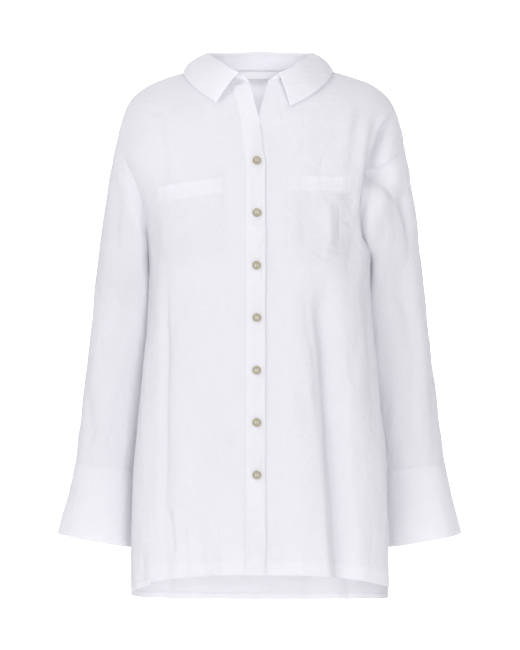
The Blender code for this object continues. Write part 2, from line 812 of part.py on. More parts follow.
def make_buttons():
    """Seven turned buttons on the placket."""
    material = colour_material("button_horn", BUTTON_COLOUR, 0.4)
    for number, height in enumerate(BUTTON_HEIGHTS, start=1):
        seat = laid_on(BUTTON_X, height, OVER_LIFT + LAY + TRIM_CLOTH + LAY, 0)
        mesh = bpy.data.meshes.new(f"button_{number}")
        points = [(radius * MM, 0, top * MM) for radius, top in BUTTON_PROFILE]
        mesh.from_pydata(points, [(i, i + 1) for i in range(len(points) - 1)], [])
        piece = add_object(f"button_{number}", mesh, material)
        piece.location = seat.point * MM
        piece.rotation_euler = seat.out.to_track_quat("Z", "Y").to_euler()
        turning = piece.modifiers.new("turning", "SCREW")
        turning.steps = BUTTON_STEPS
        turning.render_steps = BUTTON_STEPS
        turning.use_merge_vertices = True
        turning.merge_threshold = 0.00001
        turning.use_smooth_shade = True


def clear_scene():
    for piece in list(bpy.data.objects):
        bpy.data.objects.remove(piece)


clear_scene()
SHIRT = bpy.data.collections.new("linen_shirt")
bpy.context.scene.collection.children.link(SHIRT)
WEARER = bpy.data.objects.new("wearer_shoulders", None)
SHIRT.objects.link(WEARER)
make_fronts()
make_back()
make_sleeves()
make_collar()
make_placket()
make_pockets()
make_label()
make_buttons()
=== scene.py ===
"""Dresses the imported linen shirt: cloth shells with their folds, stitching, buttons and a plain studio.

Sizes inside the form functions are millimetres, and become metres where a mesh is made. X runs to the
wearer's left, Y to the back and Z up. The origin lies between the shoulders at the sides of the neck.
"""

import math
from collections import namedtuple
from itertools import product

import bpy
import numpy as np
from bpy.props import FloatProperty, FloatVectorProperty, PointerProperty
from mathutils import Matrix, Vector


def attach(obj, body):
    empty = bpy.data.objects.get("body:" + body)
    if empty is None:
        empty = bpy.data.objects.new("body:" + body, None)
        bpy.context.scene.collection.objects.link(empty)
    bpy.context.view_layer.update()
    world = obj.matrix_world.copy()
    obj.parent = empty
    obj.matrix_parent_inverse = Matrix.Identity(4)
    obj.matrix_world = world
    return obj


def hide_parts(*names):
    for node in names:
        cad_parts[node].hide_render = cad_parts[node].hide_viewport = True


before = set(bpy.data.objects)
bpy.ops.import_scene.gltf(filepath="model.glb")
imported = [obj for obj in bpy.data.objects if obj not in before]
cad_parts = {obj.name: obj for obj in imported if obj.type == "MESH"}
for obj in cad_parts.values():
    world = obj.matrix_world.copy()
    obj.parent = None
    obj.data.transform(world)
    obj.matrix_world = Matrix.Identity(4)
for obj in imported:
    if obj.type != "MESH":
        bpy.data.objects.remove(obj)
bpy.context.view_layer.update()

bl_info = {
    "name": "Linen Shirt Finish",
    "version": (1, 0, 0),
    "blender": (4, 5, 0),
    "location": "View3D > Sidebar > Linen Shirt",
    "description": "Makes the cloth, stitching, buttons and studio of a linen shirt round its packed solids",
    "category": "Object",
}

MM = 0.001

# The body is a tube of rings from below the hem to the neckline. Each ring has a height at the side,
# at the front and at the back, and a squareness: 2 is an ellipse, and more is nearer to a box.
Ring = namedtuple("Ring", "half_width side_y side_z front_y front_z back_y back_z square")
TORSO = [Ring(*row) for row in (
    (192, -14, -800, -112, -800, 104, -800, 2.4),
    (192, -14, -720, -112, -720, 103, -720, 2.4),
    (191, -14, -640, -112, -640, 102, -640, 2.4),
    (187, -14, -560, -112, -560, 101, -560, 2.4),
    (179, -14, -480, -111, -480, 100, -480, 2.4),
    (171, -12, -400, -111, -400, 99, -400, 2.4),
    (166, -9, -325, -112, -325, 98, -325, 2.4),
    (166, -3, -265, -113, -268, 98, -265, 2.4),
    (178, 2, -212, -112, -228, 100, -222, 2.4),
    (198, 5, -158, -109, -193, 100, -183, 2.3),
    (214, 6, -106, -105, -160, 97, -146, 2.3),
    (207, 6, -66, -100, -128, 92, -110, 2.3),
    (193, 5, -34, -94, -98, 86, -77, 2.3),
    (170, 5, -13, -88, -71, 79, -47, 2.2),
    (140, 4, 0, -82, -47, 72, -22, 2.1),
    (108, 3, 9, -76, -28, 66, 0, 2.0),
    (78, 2, 16, -70, -12, 60, 17, 2.0),
)]
NECK = len(TORSO) - 1
ARMPIT = 7.0
SHOULDER_TIP = 10.2

# The armhole bows to the front and to the back of the side line, in degrees round the body
ARMHOLE_FRONT = {-1: 27.0, 1: 37.0}
ARMHOLE_BACK = 30.0
ARMHOLE_RAISE = 0.3

# The side seam runs forward on its way down, to this angle from the front centre at the hem
SEAM_AT_HEM = {-1: 52.0, 1: 84.0}

# Hems: height at the centre, and how far each rises or falls towards the side
FRONT_HEM = -736.0
FRONT_HEM_DROP = 26.0
BACK_HEM = -793.0
BACK_HEM_RISE = {-1: 19.5, 1: 15.0}

# Edges of the fronts at the centre: where the lapping edge and the edge under it lie at each height
Edge = namedtuple("Edge", "height over under")
EDGES = [Edge(*row) for row in (
    (-800, 6.6, -17.0),
    (-131, 6.6, -17.0),
    (-116, 3.0, -14.0),
    (-67, -2.5, -2.5),
    (-12, -16.7, 12.0),
)]

# How far the lapping front lies out and the other one in, how near to the centre, and from which
# height down
OVER_LIFT = 0.6
UNDER_LIFT = -1.8
LAP_REACH = 17.0
LAP_TOP = -55.0
LAP_FADE = 30.0

# Large folds of the body, from a top point to a low point, as (x, z) on the front or the back. The
# line bows sideways in the middle. A negative depth is a trough.
Fold = namedtuple("Fold", "top_x top_z low_x low_z bow depth spread")
FRONT_FOLDS = [Fold(*row) for row in (
    (88, -285, 137, -860, 4, -11.0, 19),
    (36, -330, 66, -860, 4, 3.0, 20),
    (122, -330, 156, -860, 3, 4.0, 18),
    (-133, -300, -137, -860, -3, -3.5, 11),
    (-58, -490, -66, -860, 4, -9.0, 24),
    (-48, -600, -52, -860, 0, 3.0, 14),
    (-154, -40, -138, -165, 2, -3.0, 10),
    (158, -36, 134, -152, -3, -4.0, 12),
    (178, -50, 160, -262, -5, -7.0, 10),
)]
BACK_FOLDS = [Fold(*row) for row in (
    (-66, -110, -98, -860, 6, -8.0, 17),
    (58, -140, 86, -860, 5, -9.0, 18),
    (-6, -90, 6, -860, 8, 5.0, 22),
    (126, -300, 142, -860, -4, -5.5, 13),
    (-128, -260, -146, -860, 4, -5.0, 13),
)]

# Creases that only the finished cloth has. The first is the deep fold beside the left armhole.
FRONT_CREASES = [Fold(*row) for row in (
    (201, -44, 160, -262, -6, -26.0, 5.6),
    (188, -60, 154, -240, -6, -3.5, 9.0),
    (-174, -690, -172, -790, 1, -2.0, 4.0),
    (-163, -700, -160, -790, -1, 1.8, 4.0),
    (126, -150, 134, -310, 0, -3.0, 13.0),
    (52, -50, 8, -80, 0, 1.6, 5.0),
    (30, -36, 26, -50, 0, -1.5, 3.0),
    (150, -30, 140, -160, -4, -1.8, 9.0),
    (94, -290, 148, -1000, -1, -11.5, 15.5),
    (156, -255, 174, -570, 2, -6.5, 10.0),
    (122, -300, 168, -1000, 4, -5.0, 22.0),
    (-136, -250, -142, -720, -1, -3.4, 4.5),
    (-139, -630, -127, -722, 3, -2.6, 4.5),
    (-94, -630, -66, -790, 4, -4.0, 7.0),
    (-112, -640, -98, -800, -3, -2.6, 5.5),
    (-66, -600, -50, -790, 3, 2.5, 7.0),
    (-36, -560, -24, -800, 3, -2.2, 9.0),
    (-60, -187, -36, -193, 2, -0.8, 4.0),
    (-42, -238, -26, -262, 2, -0.7, 5.0),
    (-30, -505, -22, -560, 2, 0.8, 6.0),
    (74, -262, 118, -274, -3, -1.5, 4.0),
    (92, -248, 112, -262, 2, 1.1, 4.5),
    (110, -178, 150, -196, 4, -1.1, 6.0),
    (116, -214, 150, -222, -3, -1.2, 5.0),
    (60, -300, 92, -560, 4, -1.6, 5.5),
    (104, -560, 112, -760, -2, -2.0, 5.0),
    (128, -330, 150, -690, 3, -1.2, 6.0),
    (30, -60, 52, -130, 3, -0.9, 7.0),
    (-112, -60, -132, -200, 3, -1.0, 8.0),
    (6, -556, 5, -612, 0, -0.9, 3.0),
)]
BACK_CREASES = [Fold(*row) for row in (
    (-70, -130, -92, -500, 4, -3.6, 7.0),
    (62, -160, 80, -560, 4, -3.2, 7.0),
    (20, -300, 34, -640, -4, -2.6, 8.0),
    (-34, -380, -44, -760, 3, -3.0, 9.0),
    (152, -172, 74, -262, 6, -2.4, 11.0),
    (-152, -180, -82, -250, 6, -2.2, 11.0),
    (110, -250, 60, -300, 5, -1.0, 8.0),
    (-118, -262, -70, -300, 5, -1.1, 8.0),
    (104, -640, 118, -790, 2, -1.6, 6.0),
    (-104, -620, -112, -790, 2, -1.5, 6.0),
)]

# Shares of its length over which a fold and a crease fade at both ends, and how near to the sides of
# the body all fade, as the cosine of the angle
FOLD_EASE = 0.16
CREASE_EASE = 0.3
FOLD_FADE = 0.35

# The sleeve is a tube of rings from the armhole to the cuff: its outer and inner lines as (x, z),
# the middle of its depth, half its depth, and its squareness
Sleeve = namedtuple("Sleeve", "outer_x outer_z inner_x inner_z middle_y half_depth square")
SLEEVE = [Sleeve(*row) for row in (
    (214, -100, 166, -266, 6, 54, 2.2),
    (223, -140, 168, -272, 12, 60, 2.6),
    (231, -185, 165, -291, 24, 62, 3.0),
    (238, -235, 161, -323, 38, 62, 3.2),
    (246, -290, 159, -359, 49, 60, 3.2),
    (253, -350, 159, -403, 57, 58, 3.1),
    (261, -420, 163, -454, 61, 56, 3.0),
    (270, -496, 172, -516, 62, 56, 2.9),
    (280, -578, 182, -590, 62, 57, 2.8),
)]
CUFF = [
    SLEEVE[-1],
    Sleeve(291, -630, 184, -648, 62, 61, 2.7),
    Sleeve(306, -686, 187, -707, 62, 66, 2.6),
]

# The sleeves press the body's cloth in just behind its sides: how far, at which turn from the front
# centre and how wide in degrees, and between which heights
SIDE_PRESS = 7.5
PRESS_TURN = 110.0
PRESS_WIDTH = 14.0
PRESS_TOP, PRESS_LOW = -270.0, -760.0
PRESS_EASE = 60.0

# Rows of the sleeve over which the armhole's form eases into the tube
SLEEVE_SETS_IN = 3.0

# How far the cloth beside the armhole seam swells on the front, and where, in rows of the sleeve
SLEEVE_SWELL = {-1: 1.5, 1: 8.5}
SWELL_ROW = 0.8
SWELL_WIDTH = 0.55

# Folds of a sleeve: degrees round from the outer line over the front, at the top and the low end,
# and the rows of the sleeve between which the fold lies
SleeveFold = namedtuple("SleeveFold", "side top_around low_around top low depth spread")
SLEEVE_FOLDS = [SleeveFold(*row) for row in (
    (1, 38, 62, 0.4, 3.6, -5.0, 11),
    (1, 85, 60, 2.6, 7.0, -4.0, 12),
    (1, 215, 250, 1.0, 6.5, -5.0, 13),
    (1, 20, 48, 5.0, 8.0, -3.5, 10),
    (-1, 48, 66, 0.6, 3.2, -3.5, 12),
    (-1, 96, 58, 3.2, 7.2, -4.0, 12),
    (-1, 225, 255, 1.2, 6.0, -5.0, 13),
    (-1, 28, 70, 6.2, 8.0, -3.5, 10),
)]
SLEEVE_CREASES = [SleeveFold(*row) for row in (
    (1, 40, 58, 0.5, 3.4, -3.0, 6),
    (1, 78, 92, 0.5, 2.4, 2.2, 9),
    (1, 44, 58, 0.6, 3.2, -1.6, 4),
    (1, 120, 70, 3.0, 4.6, -1.2, 5),
    (1, 100, 46, 3.8, 5.6, -1.3, 5),
    (1, 66, 92, 5.8, 7.8, -1.2, 5),
    (1, 160, 120, 4.2, 6.4, -1.4, 6),
    (1, 240, 300, 3.2, 5.2, -1.5, 6),
    (-1, 60, 74, 0.8, 3.4, -1.2, 5),
    (-1, 112, 64, 3.4, 5.2, -1.1, 5),
    (-1, 84, 40, 6.8, 7.9, -1.8, 5),
    (-1, 104, 62, 7.1, 8.0, -1.6, 4),
    (-1, 50, 78, 5.0, 7.2, -1.0, 6),
    (-1, 250, 300, 3.0, 5.4, -1.5, 6),
)]

# The collar by its turn from the front centre, in degrees: how high the stand rises, how far its
# top leans out, and how far its end sweeps to the side
Stand = namedtuple("Stand", "turn rise lean sweep")
STAND = [
    Stand(0, 6.3, 4, 13.6),
    Stand(40, 12, 1, 2),
    Stand(90, 15, -3, 0),
    Stand(180, 22, -5, 0),
]

# The roll of the collar over the stand, as steps up and out from the stand's top
Roll = namedtuple("Roll", "up out")
ROLL = [Roll(0.3, 0.0), Roll(4.0, 0.8), Roll(6.0, 3.8), Roll(4.2, 7.4)]

# The fall of the collar: its steps and its bulge, the tips of its lower edge as (x, height), and the
# places up the body that the edge crosses at the shoulders and at the back
FALL_STEPS = (0.2, 0.45, 0.72, 1.0)
FALL_BULGE = 3.0
COLLAR_TIP = {-1: (-64.0, -46.0), 1: (44.0, -52.0)}
COLLAR_AT_SHOULDER = {-1: 14.9, 1: 15.15}
COLLAR_AT_BACK = 14.75
COLLAR_CLEAR = 4.5
COLLAR_FRONT_EASE = 0.8

# Placket, pockets, label and buttons. Placket and pockets are lifted in layers of cloth.
PLACKET_WIDTH = 26.0
PLACKET_TOP = -18.0
PLACKET_OVERLAP = 0.8
PLACKET_LIFT = 0.95
BUTTON_DENT = 0.35
BUTTON_DENT_WIDTH = 7
EDGE_ROUNDING = 0.9
Pocket = namedtuple("Pocket", "side inner_x outer_x inner_top outer_top bottom gape mouth")
POCKETS = [
    Pocket("right", -54.0, -150.0, -155.0, -168.0, -275.0, 1.4, 3.4),
    Pocket("left", 41.0, 136.0, -152.0, -154.0, -274.0, 1.0, 0.8),
]
POCKET_LIFT = 0.9
MOUTH_AT, MOUTH_WIDTH, MOUTH_LOW = 0.84, 0.09, 0.72
LABEL_LEFT, LABEL_RIGHT = -29.0, 31.0
LABEL_LOW, LABEL_TOP = 4.0, 14.6
LABEL_LIFT = 1.2
LABEL_SAG = 0.5
BUTTON_X = -4.7
BUTTON_HEIGHTS = [-131.0 - 76.4 * step for step in range(7)]
BUTTONHOLE_LENGTH = 13.0
BUTTONHOLE_WIDTHS = (0.3, 1.6)
BUTTONHOLE_BARS = 64

# Width of the hem bands and the seam bands, the step at a seam, and the dent along a stitched line
FRONT_HEM_BAND = 22.0
BACK_HEM_BAND = 10.0
CUFF_BAND = 10.0
SEAM_BAND = 7.0
SEAM_STEP = 0.35
STITCH_PULL = 0.45
STITCH_WIDTH = 1.6

# Rows and columns of the finished cloth
HEM_ROWS = 20
LOW_ROWS = 120
ARM_ROWS = 84
NECK_ROWS = 36
FRONT_COLUMNS = 112
BACK_COLUMNS = 190
NECK_COLUMNS = 70
SLEEVE_ROWS = 150
AROUND = 104
CUFF_ROWS = 56
STAND_ROWS = 14
COLLAR_ROWS = 60
COLLAR_FRONT_COLUMNS = 52
PLACKET_ROWS = 240
PLACKET_COLUMNS = 18
LABEL_ROWS = 12
LABEL_COLUMNS = 40

# How steeply the top edge's form fades on its way down a panel
TOP_PULL = 5

# Edge length of the block of random numbers that the cloth's unevenness is read from
LATTICE = 32

# Sewing: how far in from its edge each line of stitching lies
HEM_STITCH = 2.0
SEAM_STITCH = SEAM_BAND - 1
CUFF_STITCH = 3.0
STAND_STITCH = 2.5
COLLAR_STITCH = 5.5
PLACKET_STITCH = 2.6
POCKET_STITCH = 2.0
POCKET_FOLD_STITCH = 1.5
LABEL_STITCH = 1.6

# Thickness of the doubled parts, in single layers of cloth, and of the label in millimetres
HEM_LAYERS = 1.7
STAND_LAYERS = 1.4
COLLAR_LAYERS = 1.75
PLACKET_LAYERS = 1.15
LABEL_THICK = 0.45

# How far a hem sinks in, in layers, and how much whiter it looks
HEM_SINK = 0.35
HEM_WHITER = 0.2

# Widths along X, Y and Z of the waves that sewing draws into the cloth
HEM_RIPPLE = (8, 8, 40)
SEAM_RIPPLE = (40, 40, 9)
EVEN_RIPPLE = (9, 9, 9)
PLACKET_RIPPLE = (30, 30, 7)

# The cloth's own unevenness: widths along X, Y and Z of each kind, and its seed
DENTS = (34, 40, 70), 11
SMALL_DENTS = (17, 20, 36), 12
RIPPLES = (9, 9, 15), 13
CRUMPLED_PATCHES = (60, 60, 80), 14
SHARP_LINES = (26, 30, 34), 15
STAND_WAVES = (14, 14, 14), 51
COLLAR_WAVES = (26, 26, 26), 52
COLLAR_RIPPLES = EVEN_RIPPLE, 53
PLACKET_WAVES = (14, 30, 18), 61
POCKET_WAVES = (16, 30, 22), 71
LABEL_WAVES = EVEN_RIPPLE, 81

# One stitch as rings: the share of its length, and its width and height in radii of the thread. Then
# its length as a share of the distance from stitch to stitch.
SPINDLE = ((0.0, 0.35, -0.25), (0.25, 1.0, 0.35), (0.75, 1.0, 0.35), (1.0, 0.35, -0.25))
STITCH_SHARE = 0.74

# Widths, lengths and areas of the flat cuts, in metres, of what shows of each piece
Cut = namedtuple("Cut", "width length area")
SIDE_WORDS = {-1: "right", 1: "left"}

# The studio: places and sizes of the softboxes, the camera's sensor in millimetres, and between which
# directions along Y the air brightens
KEY_BOX = (-2.4, -3.0, 1.7), 1.5
FRONT_BOX = (0.9, -4.4, 0.1), 1.4
SENSOR_MM = 36
AIR_FROM, AIR_TO = -0.3, 0.75

# Sharp edges of a piece turn by more than this, in degrees
SHARP_TURN = 60
SHARP_BUTTON_TURN = 35


def columns_at(table, place):
    """A table's columns at fractional places, on a smooth curve through its rows."""
    return type(table[0])(*np.moveaxis(row_at(table, place), -1, 0))


def row_at(table, place):
    """The rows of a table at fractional places, on a smooth curve through its rows."""
    rows = np.array(table, float)
    last = len(rows) - 1
    place = np.clip(np.asarray(place, float), 0.0, last)
    first = np.minimum(place.astype(int), last - 1)
    t = (place - first)[..., None]
    before, start, end = rows[np.maximum(first - 1, 0)], rows[first], rows[first + 1]
    after = rows[np.minimum(first + 2, last)]
    bend = 2 * before - 5 * start + 4 * end - after
    twist = 3 * (start - end) + after - before
    return start + 0.5 * t * (end - before + t * (bend + t * twist))


def together(first, second):
    """Two numbers or arrays as arrays of one shape."""
    return np.broadcast_arrays(np.asarray(first, float), np.asarray(second, float))


def smooth(value):
    """0 below 0, 1 above 1, and an even rise between."""
    value = np.clip(value, 0.0, 1.0)
    return value * value * (3 - 2 * value)


def bump(away):
    """1 at 0, easing to 0 at both sides."""
    return np.exp(-(away ** 2))


def unit(vectors):
    """The vectors at length 1."""
    return vectors / np.maximum(np.linalg.norm(vectors, axis=-1, keepdims=True), 1e-9)


def stack(*parts):
    """Points or pairs from their coordinates."""
    return np.stack(np.broadcast_arrays(*parts), axis=-1).astype(float)


def reach_of(angle, square):
    """How far a superellipse of half sizes 1 reaches in a direction."""
    return (np.abs(np.sin(angle)) ** square + np.abs(np.cos(angle)) ** square) ** (-1 / square)


def unevenness(points, size, seed):
    """Smooth random values from -1 to 1 in space. The size is a ripple's width along X, Y and Z."""
    values = np.random.default_rng(seed).uniform(-1, 1, (LATTICE,) * 3)
    place = points / np.array(size, float)
    cell = np.floor(place).astype(int)
    t = place - cell
    t = t ** 3 * (t * (6 * t - 15) + 10)
    total = 0.0
    for corner in product((0, 1), repeat=3):
        index = (cell + corner) % LATTICE
        weight = np.prod(np.where(corner, t, 1 - t), axis=-1)
        total = total + weight * values[index[..., 0], index[..., 1], index[..., 2]]
    return total


def rumple(points):
    """How far the cloth's own unevenness moves it out: soft dents, ripples and a few sharp lines."""
    soft = unevenness(points, *DENTS) + 0.5 * unevenness(points, *SMALL_DENTS)
    small = unevenness(points, *RIPPLES)
    where = smooth(0.5 + unevenness(points, *CRUMPLED_PATCHES))
    lines = bump(unevenness(points, *SHARP_LINES) / 0.2)
    depth = bpy.context.scene.shirt_sizes.rumple_depth / MM
    return depth * (0.85 * soft + 0.2 * small * where - 0.3 * lines * where)


def plain_torso(angle, place):
    """The body's form without folds. The angle runs from the front centre to the wearer's left."""
    ring = columns_at(TORSO, place)
    reach = reach_of(angle, ring.square)
    along = np.cos(angle)
    end_y = np.where(along > 0, ring.front_y, ring.back_y)
    end_z = np.where(along > 0, ring.front_z, ring.back_z)
    x = ring.half_width * reach * np.sin(angle)
    y = ring.side_y + (end_y - ring.side_y) * reach * np.abs(along)
    return stack(x, y, ring.side_z + (end_z - ring.side_z) * along * along)


def upright_line(fold, x, z):
    """How far down a fold points lie, from 0 at its top to 1, and how far beside its line."""
    t = (fold.top_z - z) / (fold.top_z - fold.low_z)
    return t, x - fold.top_x - (fold.low_x - fold.top_x) * t - 4 * fold.bow * t * (1 - t)


def slanting_line(fold, x, z):
    """The same for a crease that may run across, measured along its own line."""
    run = np.array((fold.low_x - fold.top_x, fold.low_z - fold.top_z), float)
    length = float(np.hypot(*run))
    run /= length
    x, z = x - fold.top_x, z - fold.top_z
    t = (x * run[0] + z * run[1]) / length
    return t, x * run[1] - z * run[0] + 4 * fold.bow * t * (1 - t)


def fold_depth(folds, line, ease, x, z):
    """How far the folds of a table move cloth out."""
    total = np.zeros(np.broadcast(x, z).shape)
    for fold in folds:
        t, away = line(fold, x, z)
        total += fold.depth * smooth(t / ease) * smooth((1 - t) / ease) * bump(away / fold.spread)
    return total


def torso(angle, place):
    """The finished body: its folds, its small creases and its unevenness."""
    angle, place = together(angle, place)
    point = plain_torso(angle, place)
    along = np.cos(angle)
    x, z = point[..., 0], point[..., 2]
    below_neck = smooth((NECK - place) / 1.5)
    depth = below_neck * rumple(point)
    clear_of_sides = smooth(np.abs(along) / FOLD_FADE)
    for on_face, folds, creases in (
        (along > 0, FRONT_FOLDS, FRONT_CREASES),
        (along <= 0, BACK_FOLDS, BACK_CREASES),
    ):
        large = fold_depth(folds, upright_line, FOLD_EASE, x, z)
        small = fold_depth(creases, slanting_line, CREASE_EASE, x, z)
        depth = depth + on_face * clear_of_sides * (large + below_neck * small)
    pressed = smooth((PRESS_TOP - z) / PRESS_EASE) * smooth((z - PRESS_LOW) / PRESS_EASE)
    depth = depth - SIDE_PRESS * pressed * bump((turn_of(angle) - PRESS_TURN) / PRESS_WIDTH)
    return point + stack(np.sin(angle), -along, 0) * depth[..., None]


def torso_out(angle, place):
    """The direction out of the body at points of its form."""
    across = torso(angle + 0.012, place) - torso(angle - 0.012, place)
    up = torso(angle, place + 0.04) - torso(angle, place - 0.04)
    return unit(np.cross(across, up))


def place_at(angle, height):
    """The places up the body where its form passes a height."""
    angle, height = together(angle, height)
    low = np.zeros(angle.shape)
    high = np.full(angle.shape, float(NECK))
    for _ in range(20):
        middle = (low + high) / 2
        below = plain_torso(angle, middle)[..., 2] < height
        low = np.where(below, middle, low)
        high = np.where(below, high, middle)
    return (low + high) / 2


def angle_at(x, place):
    """The angle on the front where a ring of the body passes x."""
    ring = columns_at(TORSO, place)
    share = np.minimum(np.abs(x) / ring.half_width, 0.995) ** ring.square
    return np.copysign(np.arctan((share / (1 - share)) ** (1 / ring.square)), x)


def spot(x, height, back=False):
    """The angles and places of points of the body given by their x and their height."""
    x, height = together(x, height)
    angle = np.zeros(x.shape)
    for _ in range(10):
        place = place_at(math.pi - angle if back else angle, height)
        angle = 0.5 * (angle + angle_at(x, place))
    return (math.pi - angle if back else angle), place


def footing(x, height, back=False):
    """Points of the body's cloth given by their x and height, and the directions out of it."""
    pair = spot(x, height, back)
    return torso(*pair), torso_out(*pair)


def edge_x(side, height):
    """Where a front's centre edge lies at a height."""
    places = [edge.over if side < 0 else edge.under for edge in EDGES]
    return np.interp(height, [edge.height for edge in EDGES], places)


def seam_angle(side, height):
    """The angle of the side seam from the front centre at a height."""
    armpit = plain_torso(math.pi / 2, ARMPIT)[2]
    share = smooth((armpit - height) / (armpit - FRONT_HEM))
    return np.radians(90 + (SEAM_AT_HEM[side] - 90) * share)


def front_hem(angle):
    """The fronts' height at the hem."""
    return FRONT_HEM - FRONT_HEM_DROP * np.abs(np.sin(angle)) ** 3


def back_hem(angle):
    """The back's height at the hem."""
    away = (angle - math.pi) / (math.pi / 2)
    return BACK_HEM + np.where(away > 0, BACK_HEM_RISE[-1], BACK_HEM_RISE[1]) * away ** 2


def armhole(side, around):
    """The armhole's angles and places. It runs round from the shoulder over the front."""
    reach = np.where(np.sin(around) > 0, ARMHOLE_FRONT[side], ARMHOLE_BACK)
    bow = reach * np.sin(around) * (1 + ARMHOLE_RAISE * np.cos(around))
    middle, half = (SHOULDER_TIP + ARMPIT) / 2, (SHOULDER_TIP - ARMPIT) / 2
    return side * np.radians(90 - bow), middle + half * np.cos(around)


def tube_point(table, side, around, place):
    """Points of a tube of sleeve rings."""
    ring = columns_at(table, place)
    reach = reach_of(around, ring.square)
    across = reach * np.cos(around)
    x = (ring.outer_x + ring.inner_x) / 2 + (ring.outer_x - ring.inner_x) / 2 * across
    z = (ring.outer_z + ring.inner_z) / 2 + (ring.outer_z - ring.inner_z) / 2 * across
    return stack(side * x, ring.middle_y - ring.half_depth * reach * np.sin(around), z)


def tube_moved(point, side, around, depth):
    """Points of a tube moved out from its middle line."""
    return point + stack(side * np.cos(around), -np.sin(around), 0) * depth[..., None]


def sleeve_fold_depth(folds, side, around, place):
    """How far the folds of a table move a sleeve's cloth out."""
    total = np.zeros(np.broadcast(around, place).shape)
    degrees = np.degrees(around) % 360
    for fold in folds:
        if fold.side == side:
            t = np.clip((place - fold.top) / (fold.low - fold.top), 0, 1)
            line = fold.top_around + (fold.low_around - fold.top_around) * t
            away = (degrees - line + 180) % 360 - 180
            total = total + fold.depth * np.sin(math.pi * t) * bump(away / fold.spread)
    return total


def sleeve(side, around, place):
    """The finished sleeve. Its first ring is the armhole, and it eases into the tube's own rings."""
    around, place = together(around, place)
    point = tube_point(SLEEVE, side, around, place)
    share = np.maximum(1 - place / SLEEVE_SETS_IN, 0.0) ** 2
    start = torso(*armhole(side, around)) - tube_point(SLEEVE, side, around, 0 * place)
    point = point + start * share[..., None]
    depth = sleeve_fold_depth(SLEEVE_FOLDS, side, around, place)
    fine = sleeve_fold_depth(SLEEVE_CREASES, side, around, place) + rumple(point)
    depth = depth + fine * smooth(place / 0.8)
    swell = bump((place - SWELL_ROW) / SWELL_WIDTH) * smooth(place / 0.4) * smooth(np.sin(around))
    return tube_moved(point, side, around, depth + SLEEVE_SWELL[side] * swell)


def cuff(side, around, place):
    """The finished cuff, which goes on from the sleeve's last ring."""
    around, place = together(around, place)
    point = tube_point(CUFF, side, around, place)
    return tube_moved(point, side, around, rumple(point) * (1 - 0.45 * smooth(place / 0.5)))


def turn_of(angle):
    """Degrees from the front centre, whichever way round."""
    degrees = np.abs(np.degrees(angle)) % 360
    return np.minimum(degrees, 360 - degrees)


def neck_side(angle):
    """The horizontal direction out of the neckline."""
    ring = TORSO[NECK]
    depth = (ring.back_y - ring.front_y) / 2
    return unit(stack(np.sin(angle) / ring.half_width, -np.cos(angle) / depth, 0))


def stand(angle, share):
    """The collar stand, from the neckline up to its top edge."""
    turns, *columns = zip(*STAND)
    rise, lean, sweep = (np.interp(turn_of(angle), turns, column) for column in columns)
    step = stack(np.copysign(sweep, np.sin(angle)), 0, rise) + neck_side(angle) * lean[..., None]
    return plain_torso(angle, NECK) + step * np.asarray(share)[..., None]


def neck_end(side):
    """The angle where a front's neckline ends at its centre edge."""
    height = plain_torso(0.0, NECK)[2]
    return float(angle_at(edge_x(side, height), NECK))


def collar_edge(angle):
    """The lower edge of the folded collar, just clear of the body."""
    edge_angle = np.zeros(angle.shape)
    place = np.zeros(angle.shape)
    turn = turn_of(angle)
    for side in (-1, 1):
        on_side = np.sin(angle) * side >= 0
        at_shoulder = COLLAR_AT_SHOULDER[side]
        tip_angle, tip_place = spot(*COLLAR_TIP[side])
        end = abs(math.degrees(neck_end(side)))
        share = np.clip((turn - end) / (90 - end), 0.0, 1.0)
        front_turn = np.degrees(np.abs(tip_angle)) * (1 - share) + 90 * share
        front_place = tip_place + (at_shoulder - tip_place) * share ** COLLAR_FRONT_EASE
        back_place = at_shoulder + (COLLAR_AT_BACK - at_shoulder) * smooth((turn - 90) / 90)
        side_angle = side * np.radians(np.where(turn < 90, front_turn, turn))
        edge_angle = np.where(on_side, side_angle, edge_angle)
        place = np.where(on_side, np.where(turn < 90, front_place, back_place), place)
    return torso(edge_angle, place) + torso_out(edge_angle, place) * COLLAR_CLEAR


def collar(angles, shares):
    """The folded collar as a grid: up from the stand, over the roll and down to the lower edge."""
    top = stand(angles, np.ones(angles.shape))
    up = unit(top - stand(angles, np.zeros(angles.shape)))
    out = neck_side(angles)
    points = [top + up * roll.up + out * roll.out for roll in ROLL]
    start = points[-1]
    edge = collar_edge(angles)
    for share in FALL_STEPS:
        bulge = 4 * FALL_BULGE * share * (1 - share)
        points.append(start * (1 - share) + edge * share + unit(out + np.array((0, 0, 1.0))) * bulge)
    columns = np.array(points).reshape(len(points), -1)
    return row_at(columns, shares * (len(points) - 1)).reshape(len(shares), len(angles), 3)


def fill(left, right, bottom, top):
    """A grid of (angle, place) pairs inside four edges, with rows from the bottom to the top."""
    t = np.linspace(0, 1, len(left))[:, None, None]
    s = np.linspace(0, 1, len(bottom))[None, :, None]
    sides = (1 - s) * left[:, None] + s * right[:, None]
    below = bottom[None] - (1 - s) * bottom[0] - s * bottom[-1]
    above = top[None] - (1 - s) * top[0] - s * top[-1]
    return sides + (1 - t) * below + t ** TOP_PULL * above


def rise_shares(low, high, band):
    """Shares of the way from a hem at height low up to high, closer together in the hem's band."""
    hem = np.linspace(0, 1.4 * band / (high - low), HEM_ROWS + 1)
    return np.concatenate((hem[:-1], np.linspace(hem[-1], 1, LOW_ROWS + 1)))


